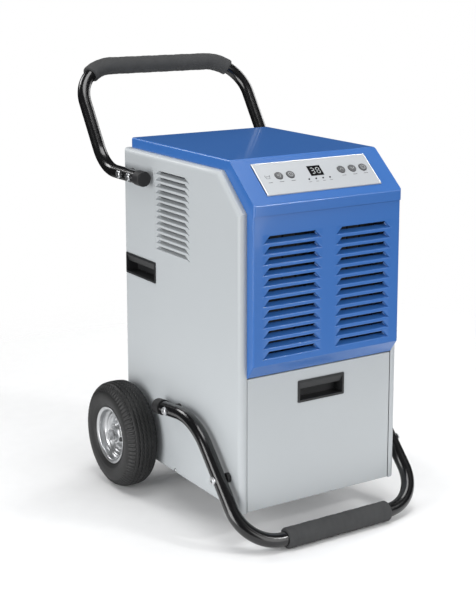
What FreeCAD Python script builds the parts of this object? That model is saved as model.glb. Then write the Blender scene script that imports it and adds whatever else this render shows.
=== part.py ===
"""A wheeled commercial dehumidifier: folded steel cabinet, slide-out water tank, tube frame.

Built in millimetres with +Z up. X runs across the cabinet, and Y runs from the front (tank
face at Y = 0) to the back. At export everything moves so that the origin is on the floor at
the middle of the footprint.
"""
import FreeCAD
import Part
import math
import os
from FreeCAD import Vector

# Cabinet
SHEET = 1.2                    # steel sheet thickness
HALF_WIDTH = 174.0             # outer face of a side panel
DEPTH = 423.0                  # front flange to rear panel
CABINET_BOTTOM = 56.0          # height above the floor
CABINET_TOP = 662.5            # top edge of the side panels
SLOPE_TOP_Y = 72.5             # where the sloping control face meets the top
SLOPE_BOTTOM_Z = 596.0         # where it meets the front
FLANGE = 14.8                  # side panel edges are turned in this far
BEND = 9.5                     # outside radius of that bend
COVER_HALF = HALF_WIDTH - FLANGE
BAY_FLOOR = 64.0               # top of the base tray
SHELF_Z = 304.0                # underside of the shelf between tank bay and coils

# Blue covers, which stand proud of the cabinet
PROUD = 19.5
LID_REAR = 413.5
LID_TOP = CABINET_TOP + PROUD
LID_FOLD_Y = 58.8
LID_NOSE_Y = -22.6
LID_NOSE_Z = 612.6
LID_LIP_Z = 594.3
LID_ROUND = 4.0
GRILLE_TOP = LID_LIP_Z
GRILLE_FOLD_Z = 329.3
GRILLE_BOTTOM = 304.9
CONTROL_ANGLE = math.degrees(math.atan2(LID_TOP - LID_NOSE_Z, LID_FOLD_Y - LID_NOSE_Y))

# Louvres: inner edge, outer edge, height of an opening, pitch; how far back and up a blade goes
GRILLE_LOUVRES = {"near": 16.0, "far": 138.0, "bevel": 13.0, "height": 13.0, "pitch": 18.6,
                  "lowest": 340.5, "count": 12, "depth": 12.5, "rise": 5.2}
SIDE_LOUVRES = {"near": 173.5, "far": 294.5, "bevel": 12.5, "height": 8.0, "pitch": 11.95,
                "lowest": 483.6, "count": 13, "depth": 8.5, "rise": 4.2}
REAR_LOUVRES = {"near": -75.0, "far": 75.0, "bevel": 12.5, "height": 8.0, "pitch": 16.0,
                "lowest": 110.0, "count": 9, "depth": 8.5, "rise": 4.2}

# Control panel, measured down the slope from the fold at its top
FASCIA = {"half": 123.0, "top": 15.6, "bottom": 88.0, "thick": 1.6}
BUTTON_X = (-79.5, -55.0, 55.0, 79.5, 103.5)
BUTTON_DOWN = 47.0
BUTTON_R = 8.0
DISPLAY = {"half": 14.0, "top": 32.0, "bottom": 55.0}
LIGHT_X = (-22.5, -7.5, 7.5, 22.5)
LIGHT_DOWN = 61.5

# Cup pulls, set into a face: length, height, depth
PULL_DEPTH = 24.0
TANK_PULL = {"length": 102.0, "height": 41.0, "z": 262.0}
SIDE_PULL = {"length": 118.0, "height": 41.0, "z": 436.3, "y": 355.0}

# Tube frame
TUBE_R = 12.7
TUBE_WALL = 1.8
TUBE_X = 194.0
HANDLE = {"front_y": 303.0, "z": 618.0, "bend_y": 461.6, "top_y": 590.0, "top_z": 807.5,
          "bend_r": 85.7, "corner_r": 81.4, "foam_r": 18.0, "foam_turn": 40.0}
BAR = {"rear_y": 255.1, "rear_z": 188.7, "bend_y": 120.0, "bend_z": 204.0, "front_y": -54.9,
       "bend_r": 118.7, "corner_r": 74.8, "foam_r": 19.0, "foam_half": 113.0}
HANDLE_BOLTS_Y = (341.0, 380.0)
BAR_BOLTS_Y = (209.0, 36.0)
CAP_R = 14.6
CAP_LENGTH = 20.0
CAP_END = 2.5
BOLT_R = 4.0
BOLT_HEAD_R = 7.5

# Wheels
WHEEL_X = 214.0
WHEEL_Y = 370.2
TYRE_R = 103.7
TYRE_HALF = 32.9
AXLE_R = 6.0
BEARING_R = 13.0
RUNNING = 0.05                 # radial clearance of a shaft in its bearing

# Water tank
TANK_HALF = 150.0
TANK_BACK = 238.0
TANK_FLOOR = BAY_FLOOR + 1.0
TANK_RIM = 288.0
TANK_WALL = 2.5
TANK_FACE = {"half": COVER_HALF - 1.0, "bottom": 57.0, "top": 303.0, "return": 14.0}
FLOAT_PIN_Y = 205.0
FLOAT_PIN_Z = 272.0

# Air path and refrigeration
FAN_Z = 450.0
FAN_R = 105.0
MOTOR_FRONT = 182.0
COMPRESSOR_X = -58.0
COMPRESSOR_Y = 335.0
COMPRESSOR_R = 58.0

ORIGIN_Y = (HANDLE["top_y"] + HANDLE["foam_r"] + BAR["front_y"] - BAR["foam_r"]) / 2.0


# ---------------------------------------------------------------- basic shapes

def block(x0, x1, y0, y1, z0, z1):
    """A box between two corners, given by its six faces."""
    return Part.makeBox(x1 - x0, y1 - y0, z1 - z0, Vector(x0, y0, z0))


def rod(radius, length, start, along):
    """A cylinder from start, towards along."""
    return Part.makeCylinder(radius, length, start, along)


def ring(outer, inner, length, start, along):
    """A tube from start, towards along."""
    return rod(outer, length, start, along).cut(rod(inner, length, start, along))


def prism(outline, x0, x1):
    """Extrude an outline of (y, z) corners from x0 to x1."""
    corners = [Vector(x0, y, z) for y, z in outline]
    wire = Part.makePolygon(corners + corners[:1])
    return Part.Face(wire).extrude(Vector(x1 - x0, 0, 0))


def mirrored(shape):
    """The mirror image of a shape in the plane x = 0."""
    return shape.mirror(Vector(0, 0, 0), Vector(1, 0, 0))


def both_sides(shape):
    """A shape and its mirror image in one compound."""
    return Part.makeCompound([shape, mirrored(shape)])


def joined(shapes):
    """Shapes fused into one solid."""
    return shapes[0].multiFuse(shapes[1:]).removeSplitter()


def turned(outline, centre):
    """Revolve a closed (x, radius) outline about the X axis through centre."""
    corners = [Vector(x, 0, radius) for x, radius in outline]
    face = Part.Face(Part.makePolygon(corners + corners[:1]))
    solid = face.revolve(Vector(0, 0, 0), Vector(1, 0, 0), 360)
    solid.translate(centre)
    return solid


def on_slope(shape):
    """Move a shape from (x, up the slope, out of the slope) to the control face."""
    shape.rotate(Vector(0, 0, 0), Vector(1, 0, 0), CONTROL_ANGLE)
    shape.translate(Vector(0, LID_FOLD_Y, LID_TOP))
    return shape


def slope_block(half, top, bottom, low, high):
    """A block on the control face, from top to bottom down it and from low to high off it."""
    return on_slope(block(-half, half, -bottom, -top, low, high))


def tube_path(points, radii):
    """Straight runs through the points, with an arc of the given radius at each inner one."""
    edges = []
    start = points[0]
    for before, corner, after, radius in zip(points, points[1:], points[2:], radii):
        come = (corner - before).normalize()
        leave = (after - corner).normalize()
        half_turn = come.getAngle(leave) / 2.0
        reach = radius * math.tan(half_turn)
        first = corner - come * reach
        last = corner + leave * reach
        inward = (leave - come).normalize()
        middle = corner + inward * (radius / math.cos(half_turn) - radius)
        edges.append(Part.LineSegment(start, first).toShape())
        edges.append(Part.Arc(first, middle, last).toShape())
        start = last
    edges.append(Part.LineSegment(start, points[-1]).toShape())
    return Part.Wire(edges)


def swept(path, outer, inner):
    """A round tube along a path; inner 0 makes it solid."""
    first = path.OrderedEdges[0]
    start = first.valueAt(first.FirstParameter)
    along = first.tangentAt(first.FirstParameter)
    face = Part.Face(Part.Wire(Part.makeCircle(outer, start, along)))
    if inner > 0:
        hole = Part.Face(Part.Wire(Part.makeCircle(inner, start, along)))
        face = face.cut(hole).Faces[0]
    return path.makePipe(face)


# ---------------------------------------------------------------- pressed louvres

def louvre_opening(bank, low):
    """The trapezoid hole of one louvre, in a sheet whose outer face is at Y = 0."""
    corners = [(bank["near"], low), (bank["far"], low),
               (bank["far"] - bank["bevel"], low + bank["height"]),
               (bank["near"] + bank["bevel"], low + bank["height"])]
    points = [Vector(u, -5, v) for u, v in corners]
    face = Part.Face(Part.makePolygon(points + points[:1]))
    return face.extrude(Vector(0, 30, 0))


def louvre_blade(bank, low):
    """The blade: folded in from the bottom edge of its hole and leaning back and up."""
    rear_y = bank["depth"]
    rear_z = low + bank["rise"]
    outline = [(0, low - SHEET), (0, low), (rear_y, rear_z), (rear_y, rear_z - SHEET),
               (SHEET, low - SHEET)]
    blade = prism(outline, bank["near"], bank["far"])
    inset = bank["bevel"] * 0.65
    corners = [(bank["near"], -1), (bank["far"], -1),
               (bank["far"] - inset, rear_y + 1), (bank["near"] + inset, rear_y + 1)]
    points = [Vector(u, v, low - 20) for u, v in corners]
    keep = Part.Face(Part.makePolygon(points + points[:1])).extrude(Vector(0, 0, 60))
    return blade.common(keep)


def louvre_bank(bank):
    """All holes and all blades of one column, as two lists."""
    first_hole = louvre_opening(bank, bank["lowest"])
    first_blade = louvre_blade(bank, bank["lowest"])
    holes = []
    blades = []
    for row in range(bank["count"]):
        step = Vector(0, 0, row * bank["pitch"])
        holes.append(first_hole.translated(step))
        blades.append(first_blade.translated(step))
    return holes, blades


def add_louvres(panel, banks, place):
    """Cut and fold louvre banks into a panel; place moves them from Y = 0 to the panel."""
    holes = []
    blades = []
    for bank in banks:
        bank_holes, bank_blades = louvre_bank(bank)
        holes += [place(hole) for hole in bank_holes]
        blades += [place(blade) for blade in bank_blades]
    panel = panel.cut(Part.makeCompound(holes))
    return panel.multiFuse(blades)


# ---------------------------------------------------------------- cabinet sheet metal

def side_outline(inset):
    """The cabinet's side view, with every edge moved in by inset."""
    slope = math.atan2(CABINET_TOP - SLOPE_BOTTOM_Z, SLOPE_TOP_Y)
    top_shift = inset * (1 - math.cos(slope)) / math.sin(slope)
    front_shift = inset * (1 - math.sin(slope)) / math.cos(slope)
    return [(inset, CABINET_BOTTOM + inset), (DEPTH - inset, CABINET_BOTTOM + inset),
            (DEPTH - inset, CABINET_TOP - inset),
            (SLOPE_TOP_Y + top_shift, CABINET_TOP - inset),
            (inset, SLOPE_BOTTOM_Z - front_shift)]


def rounded_pan(outer_x, inner_x, inset, radius):
    """A slab with the cabinet's outline, its edges on the outer face rounded."""
    slab = prism(side_outline(inset), inner_x, outer_x)
    edges = [edge for edge in slab.Edges
             if all(abs(vertex.X - outer_x) < 0.01 for vertex in edge.Vertexes)]
    return slab.makeFillet(radius, edges)


def side_panel():
    """Right side panel: a pan folded in at all its edges, with louvres and a hand hole."""
    outer = rounded_pan(HALF_WIDTH, COVER_HALF, 0.0, BEND)
    inner = rounded_pan(HALF_WIDTH - SHEET, COVER_HALF - 1, SHEET, BEND - SHEET)
    panel = outer.cut(inner)
    reach = 20.0
    pull = SIDE_PULL
    panel = panel.cut(block(HALF_WIDTH - reach, HALF_WIDTH + reach,
                            pull["y"] - pull["length"] / 2 + 2,
                            pull["y"] + pull["length"] / 2 - 2,
                            pull["z"] - pull["height"] / 2 + 2,
                            pull["z"] + pull["height"] / 2 - 2))

    def place(shape):
        shape.rotate(Vector(0, 0, 0), Vector(0, 0, 1), 90)
        shape.translate(Vector(HALF_WIDTH, 0, 0))
        return shape

    panel = add_louvres(panel, [SIDE_LOUVRES], place)
    for y, z in frame_bolt_places() + [(WHEEL_Y, TYRE_R)]:
        radius = BOLT_R if (y, z) != (WHEEL_Y, TYRE_R) else AXLE_R
        panel = panel.cut(rod(radius, 40, Vector(HALF_WIDTH - reach, y, z), Vector(1, 0, 0)))
    return panel


def rear_panel():
    """Back sheet with a ledge under the lid's rear edge, and louvres beside the compressor."""
    sheet = block(-COVER_HALF, COVER_HALF, DEPTH - SHEET, DEPTH, CABINET_BOTTOM, CABINET_TOP)
    ledge = block(-COVER_HALF, COVER_HALF, LID_REAR - 4, DEPTH, CABINET_TOP - SHEET, CABINET_TOP)
    panel = joined([sheet, ledge])

    def place(shape):
        shape.rotate(Vector(0, 0, 0), Vector(0, 0, 1), 180)
        shape.translate(Vector(0, DEPTH, 0))
        return shape

    panel = add_louvres(panel, [REAR_LOUVRES], place)
    for x, z, radius in ((100.0, 88.0, 9.0), (-120.0, 88.0, 8.0)):
        panel = panel.cut(rod(radius, 30, Vector(x, DEPTH - 15, z), Vector(0, 1, 0)))
    return panel


def base_tray():
    """Floor of the cabinet, folded down at the front and sides, drilled for the compressor."""
    plate = block(-COVER_HALF, COVER_HALF, 16, DEPTH - SHEET - 1, BAY_FLOOR - 2, BAY_FLOOR)
    flanges = [block(x0, x0 + 2, 16, DEPTH - SHEET - 1, CABINET_BOTTOM + 2, BAY_FLOOR)
               for x0 in (-COVER_HALF, COVER_HALF - 2)]
    front = block(-COVER_HALF, COVER_HALF, 16, 18, CABINET_BOTTOM + 2, BAY_FLOOR)
    tray = joined([plate, front] + flanges)
    for x, y in compressor_foot_places():
        tray = tray.cut(rod(3.0, 10, Vector(x, y, BAY_FLOOR - 5), Vector(0, 0, 1)))
    return tray


def mid_shelf():
    """Shelf over the tank bay, with holes for the drip spout and for the compressor's pipes."""
    plate = block(-156, 156, 15, DEPTH - SHEET - 1, SHELF_Z, SHELF_Z + 1.5)
    plate = plate.cut(rod(9, 10, Vector(0, 66, SHELF_Z - 4), Vector(0, 0, 1)))
    return plate.cut(block(-140, 140, 250, 400, SHELF_Z - 5, SHELF_Z + 5))


def top_cover():
    """Lid with a sloping control face and a short vertical lip over the grille."""
    def outline(inset):
        slope = math.radians(CONTROL_ANGLE)
        fold = LID_FOLD_Y + inset * (1 - math.cos(slope)) / math.sin(slope)
        nose = LID_NOSE_Z - inset * (1 - math.sin(slope)) / math.cos(slope)
        under = 0.0 if inset == 0 else 30.0
        return [(LID_REAR - inset, CABINET_TOP - under), (LID_REAR - inset, LID_TOP - inset),
                (fold, LID_TOP - inset), (LID_NOSE_Y + inset, nose),
                (LID_NOSE_Y + inset, LID_LIP_Z - under), (0, LID_LIP_Z - under),
                (0, SLOPE_BOTTOM_Z - under), (SLOPE_TOP_Y, CABINET_TOP - under)]

    def shell(inset, radius):
        half = COVER_HALF - inset
        body = prism(outline(inset), -half, half)
        rounded = []
        for edge in body.Edges:
            middle = edge.valueAt((edge.FirstParameter + edge.LastParameter) / 2)
            on_side = abs(abs(middle.x) - half) < 0.01
            is_top = middle.z > LID_LIP_Z + 8 and middle.y < LID_REAR - inset - 1
            under_edge = middle.z < CABINET_TOP + 1 and middle.y > 0
            if (on_side or abs(middle.x) < 0.01) and is_top and not under_edge:
                rounded.append(edge)
        return body.makeFillet(radius, rounded)

    lid = shell(0, LID_ROUND).cut(shell(SHEET, LID_ROUND - SHEET))
    return lid.cut(slope_block(113, 28, 72, -10, 10))


def front_grille():
    """Front cover: two columns of louvres, a bevel at its foot, a tab behind the lid's lip."""
    outline = [(0, GRILLE_BOTTOM), (-PROUD, GRILLE_FOLD_Z), (-PROUD, GRILLE_TOP), (0, GRILLE_TOP)]
    hollow = [(9, GRILLE_BOTTOM + SHEET - 11), (0, GRILLE_BOTTOM + SHEET * 1.3),
              (-PROUD + SHEET, GRILLE_FOLD_Z + 0.4), (-PROUD + SHEET, GRILLE_TOP + 9),
              (9, GRILLE_TOP + 9)]

    def rounded(corners, half, radius):
        body = prism(corners, -half, half)
        front = [edge for edge in body.Edges
                 if all(abs(abs(v.X) - half) < 0.01 and v.Y < -PROUD + 2 for v in edge.Vertexes)]
        return body.makeFillet(radius, front)

    grille = rounded(outline, COVER_HALF, 3.0).cut(rounded(hollow, COVER_HALF - SHEET, 1.8))
    left_bank = dict(GRILLE_LOUVRES)
    left_bank["near"] = -GRILLE_LOUVRES["far"]
    left_bank["far"] = -GRILLE_LOUVRES["near"]

    def place(shape):
        return shape.translated(Vector(0, -PROUD, 0))

    tab = block(-COVER_HALF + 2, COVER_HALF - 2, -PROUD, -PROUD + SHEET,
                GRILLE_TOP - 2, GRILLE_TOP + 8)
    return add_louvres(grille.fuse(tab), [GRILLE_LOUVRES, left_bank], place)


# ---------------------------------------------------------------- control panel

def control_fascia():
    """Thin printed plate with holes for the buttons, the window and the lights."""
    plate = slope_block(FASCIA["half"], FASCIA["top"], FASCIA["bottom"], 0, FASCIA["thick"])
    holes = [slope_block(DISPLAY["half"], DISPLAY["top"], DISPLAY["bottom"], -5, 5)]
    for x in BUTTON_X:
        hole = rod(BUTTON_R + 0.5, 10, Vector(x, -BUTTON_DOWN, -5), Vector(0, 0, 1))
        holes.append(on_slope(hole))
    for x in LIGHT_X:
        holes.append(on_slope(rod(1.7, 10, Vector(x, -LIGHT_DOWN, -5), Vector(0, 0, 1))))
    return plate.cut(Part.makeCompound(holes))


def button(x):
    """A domed cap on a stem; the stem ends just above its switch on the control board."""
    cap = rod(BUTTON_R, 5, Vector(x, -BUTTON_DOWN, -1.6), Vector(0, 0, 1))
    top = [edge for edge in cap.Edges if edge.Vertexes[0].Z > 0]
    cap = cap.makeFillet(1.2, top)
    stem = rod(2.0, 8.5, Vector(x, -BUTTON_DOWN, -10), Vector(0, 0, 1))
    return on_slope(cap.fuse(stem))


def display_window():
    """Smoked window of the display, standing in the fascia."""
    return slope_block(DISPLAY["half"] - 0.2, DISPLAY["top"] + 0.2, DISPLAY["bottom"] - 0.2,
                       -0.5, FASCIA["thick"] + 0.5)


def indicator_lights():
    """Four round light pipes in the fascia."""
    lights = []
    for x in LIGHT_X:
        barrel = rod(1.5, 15, Vector(x, -LIGHT_DOWN, -13), Vector(0, 0, 1))
        dome = Part.makeSphere(1.5, Vector(x, -LIGHT_DOWN, 2))
        lights.append(on_slope(barrel.fuse(dome)))
    return Part.makeCompound(lights)


def control_board():
    """Circuit board with one push switch under each button and the two-digit display."""
    parts = [slope_block(108, 31, 70, -15, -13.4)]
    for x in BUTTON_X:
        switch = block(x - 3, x + 3, -BUTTON_DOWN - 3, -BUTTON_DOWN + 3, -13.4, -11.2)
        parts.append(on_slope(switch))
    parts.append(slope_block(12, 34, 53, -13.4, -1))
    board = joined(parts)
    for x in LIGHT_X:
        board = board.cut(on_slope(rod(1.5, 1, Vector(x, -LIGHT_DOWN, -13.4), Vector(0, 0, 1))))
    return board


def control_box():
    """Housing under the slope that holds the control board."""
    outer = slope_block(116, 26, 74, -34, -SHEET - 0.1)
    inner = slope_block(114, 28, 72, -32, 0)
    box = outer.cut(inner)
    posts = []
    for x in (-104, 104):
        for down in (34, 66):
            posts.append(on_slope(rod(3, 17, Vector(x, -down, -32), Vector(0, 0, 1))))
    return joined([box] + posts)


# ---------------------------------------------------------------- cup pulls

def cup_pull(length, height):
    """A moulded cup pull facing -Y: rim, pocket, and a hood over the top third."""
    rim = 1.6
    wall = 1.8
    body = block(-length / 2 + 2.2, length / 2 - 2.2, -rim, PULL_DEPTH,
                 -height / 2 + 2.2, height / 2 - 2.2)
    flange = block(-length / 2, length / 2, -rim, 0, -height / 2, height / 2)
    corners = [edge for edge in flange.Edges
               if abs(edge.Vertexes[0].Y - edge.Vertexes[-1].Y) > 1]
    flange = flange.makeFillet(2.0, corners)
    outer_y = -rim - 1
    pocket = block(-length / 2 + 2.2 + wall, length / 2 - 2.2 - wall, outer_y,
                   PULL_DEPTH - wall, -height / 2 + 2.2 + wall, height / 2 - 2.2 - wall)
    hood_outline = [(-rim, height / 2 - 3), (-rim, height / 2 - 4.5), (2.5, 4.5), (4.5, 4.5),
                    (4.5, height / 2 - 3)]
    hood = prism(hood_outline, -length / 2 + 3, length / 2 - 3)
    return joined([body, flange]).cut(pocket).fuse(hood).removeSplitter()


def side_pull():
    """Moulded cup pull in the right side panel."""
    pull = cup_pull(SIDE_PULL["length"], SIDE_PULL["height"])
    pull.rotate(Vector(0, 0, 0), Vector(0, 0, 1), 90)
    pull.translate(Vector(HALF_WIDTH, SIDE_PULL["y"], SIDE_PULL["z"]))
    return pull


# ---------------------------------------------------------------- tube frame

def handle_path():
    """Centre line of the push handle, from its left end to its right end."""
    h = HANDLE
    side = [(h["front_y"], h["z"]), (h["bend_y"], h["z"]), (h["top_y"], h["top_z"])]
    points = [Vector(-TUBE_X, y, z) for y, z in side]
    points += [Vector(TUBE_X, y, z) for y, z in reversed(side)]
    return tube_path(points, [h["bend_r"], h["corner_r"], h["corner_r"], h["bend_r"]])


def bar_path():
    """Centre line of the front bar, from its left end to its right end."""
    b = BAR
    side = [(b["rear_y"], b["rear_z"]), (b["bend_y"], b["bend_z"]), (b["front_y"], b["foam_r"])]
    points = [Vector(-TUBE_X, y, z) for y, z in side]
    points += [Vector(TUBE_X, y, z) for y, z in reversed(side)]
    return tube_path(points, [b["bend_r"], b["corner_r"], b["corner_r"], b["bend_r"]])


def bar_bolt_z(y):
    """Height of the lower bar's centre line at a bolt, on the run that holds it."""
    b = BAR
    if y > b["bend_y"]:
        share = (b["rear_y"] - y) / (b["rear_y"] - b["bend_y"])
        return b["rear_z"] + share * (b["bend_z"] - b["rear_z"])
    share = (b["bend_y"] - y) / (b["bend_y"] - b["front_y"])
    return b["bend_z"] + share * (b["foam_r"] - b["bend_z"])


def frame_bolt_places():
    """(y, z) of the bolts: two for the handle, then two for the front bar."""
    places = [(y, HANDLE["z"]) for y in HANDLE_BOLTS_Y]
    return places + [(y, bar_bolt_z(y)) for y in BAR_BOLTS_Y]


def bolt_holes(places):
    """Clearance holes through both legs of a tube, for the given (y, z) bolts."""
    return [rod(BOLT_R + 0.1, 4 * TUBE_X, Vector(-2 * TUBE_X, y, z), Vector(1, 0, 0))
            for y, z in places]


def handle_tube():
    """Bent tube of the push handle, drilled for its bolts."""
    tube = swept(handle_path(), TUBE_R, TUBE_R - TUBE_WALL)
    return tube.cut(Part.makeCompound(bolt_holes(frame_bolt_places()[:2])))


def bar_tube():
    """Bent tube of the front bar, drilled for its bolts."""
    tube = swept(bar_path(), TUBE_R, TUBE_R - TUBE_WALL)
    return tube.cut(Part.makeCompound(bolt_holes(frame_bolt_places()[2:])))


def part_of_arc(arc, share_from, share_to):
    """The stretch of an arc between two shares of its length."""
    first = arc.FirstParameter
    span = arc.LastParameter - first
    curve = arc.Curve
    return curve.toShape(first + span * share_from, first + span * share_to)


def handle_grip():
    """Foam sleeve over the crossbar and the nearer part of both corner bends."""
    edges = handle_path().OrderedEdges
    share = HANDLE["foam_turn"] / 90.0
    first = part_of_arc(edges[3], 1 - share, 1)
    last = part_of_arc(edges[5], 0, share)
    path = Part.Wire([first, edges[4], last])
    return swept(path, HANDLE["foam_r"], TUBE_R)


def bar_grip():
    """Foam sleeve on the front bar."""
    half = BAR["foam_half"]
    start = Vector(-half, BAR["front_y"], BAR["foam_r"])
    return ring(BAR["foam_r"], TUBE_R, 2 * half, start, Vector(1, 0, 0))


def end_cap(path):
    """A cup pushed over the left end of a tube."""
    first = path.OrderedEdges[0]
    start = first.valueAt(first.FirstParameter)
    along = first.tangentAt(first.FirstParameter)
    outside = rod(CAP_R, CAP_LENGTH + CAP_END, start - along * CAP_END, along)
    rim = [edge for edge in outside.Edges if edge.Curve.TypeId == "Part::GeomCircle"
           and (edge.Curve.Center - start).dot(along) < 0]
    outside = outside.makeFillet(1.8, rim)
    return outside.cut(rod(TUBE_R, CAP_LENGTH, start, along))


def frame_bolt(y, z):
    """Button-head bolt through a tube leg, its spacer and the side panel, with its nut."""
    along = Vector(1, 0, 0)
    outer = TUBE_X + TUBE_R
    inner = HALF_WIDTH - SHEET
    shank = rod(BOLT_R, outer - inner + 9, Vector(inner - 8, y, z), along)
    head = rod(BOLT_HEAD_R, 4.0, Vector(outer, y, z), along)
    head = head.makeFillet(2.6, [edge for edge in head.Edges if edge.Vertexes[0].X > outer + 1])
    socket = rod(2.6, 2.4, Vector(outer + 1.8, y, z), along)
    nut = rod(7.0, 6.0, Vector(inner - 6.0, y, z), along)
    return shank.multiFuse([head, nut]).cut(socket)


def frame_spacer(y, z):
    """A plain sleeve round a bolt, between the side panel and a tube leg."""
    return ring(9.0, BOLT_R, TUBE_X - TUBE_R - HALF_WIDTH, Vector(HALF_WIDTH, y, z),
                Vector(1, 0, 0))


# ---------------------------------------------------------------- wheels

def tyre():
    """Hollow pneumatic tyre: rounded section with a flattened tread and open beads."""
    half = TYRE_HALF
    outside = [(25.3, 50.9), (25.3, 56.3), (28.5, 60.0), (half - 1.2, 66.0), (half, 76.0),
               (half - 1.0, 86.0), (half - 5.5, 95.0), (half - 12.5, TYRE_R - 2.4),
               (half - 20.0, TYRE_R - 0.5)]
    inside = [(half - 20.0, TYRE_R - 8.5), (half - 13.5, TYRE_R - 10.5), (half - 9.5, 88.0),
              (half - 7.0, 76.0), (half - 9.0, 66.0), (17.0, 57.0), (17.0, 50.9)]
    right = outside + [(0.0, TYRE_R)]
    left = [(-x, r) for x, r in reversed(outside)]
    hollow_left = [(-x, r) for x, r in reversed(inside)]
    profile = right + left + hollow_left + inside
    return turned(profile, Vector(WHEEL_X, WHEEL_Y, TYRE_R))


def wheel_rim():
    """Drop-centre pressed rim: the ring that carries the tyre."""
    barrel = [(27.4, 55.8), (25.4, 55.8), (25.4, 50.8), (13.0, 50.8), (9.0, 43.0), (-9.0, 43.0),
              (-13.0, 50.8), (-25.4, 50.8), (-25.4, 55.8), (-27.4, 55.8), (-27.4, 49.0),
              (-14.2, 49.0), (-10.2, 41.2), (10.2, 41.2), (14.2, 49.0), (27.4, 49.0)]
    return turned(barrel, Vector(WHEEL_X, WHEEL_Y, TYRE_R)).cut(tyre_valve())


def wheel_disc():
    """Dished disc that is welded into the rim's well, and the hub tube for the bearings."""
    disc = [(0.0, 41.2), (8.0, 36.0), (10.0, 28.0), (16.0, 20.0), (16.0, 15.0), (13.6, 15.0),
            (13.6, 19.2), (7.6, 27.2), (5.6, 35.2), (-2.4, 41.2)]
    hub = [(22.0, 15.0), (-22.0, 15.0), (-22.0, BEARING_R), (22.0, BEARING_R)]
    centre = Vector(WHEEL_X, WHEEL_Y, TYRE_R)
    return Part.makeCompound([turned(disc, centre).cut(tyre_valve()), turned(hub, centre)])


def wheel_bearings():
    """A ball race in each end of the hub, running on the axle."""
    races = []
    for x in (WHEEL_X - 22.0, WHEEL_X + 14.0):
        start = Vector(x, WHEEL_Y, TYRE_R)
        races.append(ring(BEARING_R, AXLE_R + RUNNING, 8.0, start, Vector(1, 0, 0)))
    return Part.makeCompound(races)


def tyre_valve():
    """Valve stem through the rim's well, leaning out towards the wheel's open side."""
    lean = Vector(0.5, 0.866, 0)
    start = Vector(WHEEL_X + 11.8, WHEEL_Y - 46.5, TYRE_R)
    return rod(3.0, 17.0, start, lean).fuse(rod(4.2, 6.0, start + lean * 11.0, lean))


def stub_axle():
    """Stub axle welded through a folded bracket on the side panel and the base tray."""
    upright = block(HALF_WIDTH - SHEET - 4, HALF_WIDTH - SHEET, WHEEL_Y - 28, WHEEL_Y + 28,
                    BAY_FLOOR + 2, TYRE_R + 22)
    ear = block(142, 146, WHEEL_Y - 28, WHEEL_Y + 28, BAY_FLOOR, TYRE_R + 22)
    foot = block(142, HALF_WIDTH - SHEET - 2, WHEEL_Y - 28, WHEEL_Y + 28, BAY_FLOOR, BAY_FLOOR + 4)
    axle = rod(AXLE_R, 106.0, Vector(140.0, WHEEL_Y, TYRE_R), Vector(1, 0, 0))
    return joined([upright, ear, foot, axle])


def axle_hardware():
    """Inner spacer sleeve, outer washer and lock nut of one axle."""
    along = Vector(1, 0, 0)
    sleeve = ring(9.0, AXLE_R, 17.5, Vector(HALF_WIDTH, WHEEL_Y, TYRE_R), along)
    washer = ring(11.0, AXLE_R, 1.8, Vector(WHEEL_X + 22.5, WHEEL_Y, TYRE_R), along)
    corners = [Vector(WHEEL_X + 24.3, WHEEL_Y + 10.5 * math.cos(math.radians(a)),
                      TYRE_R + 10.5 * math.sin(math.radians(a))) for a in range(0, 420, 60)]
    nut = Part.Face(Part.makePolygon(corners)).extrude(Vector(6.5, 0, 0))
    nut = nut.cut(rod(AXLE_R, 20, Vector(WHEEL_X + 20, WHEEL_Y, TYRE_R), along))
    return Part.makeCompound([sleeve, washer, nut])


# ---------------------------------------------------------------- water tank

def tank_face():
    """Front of the tank: a folded sheet with turned-back edges and a hole for its pull."""
    f = TANK_FACE
    outer = block(-f["half"], f["half"], 0, f["return"], f["bottom"], f["top"])
    front_edges = [edge for edge in outer.Edges
                   if all(v.Y < 0.01 for v in edge.Vertexes)]
    outer = outer.makeFillet(1.8, front_edges)
    inner = block(-f["half"] + SHEET, f["half"] - SHEET, SHEET, 30,
                  f["bottom"] + SHEET, f["top"] - SHEET)
    hole = block(-TANK_PULL["length"] / 2 + 2.1, TANK_PULL["length"] / 2 - 2.1, -5, 5,
                 TANK_PULL["z"] - TANK_PULL["height"] / 2 + 2.1,
                 TANK_PULL["z"] + TANK_PULL["height"] / 2 - 2.1)
    return outer.cut(inner).cut(hole)


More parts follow.
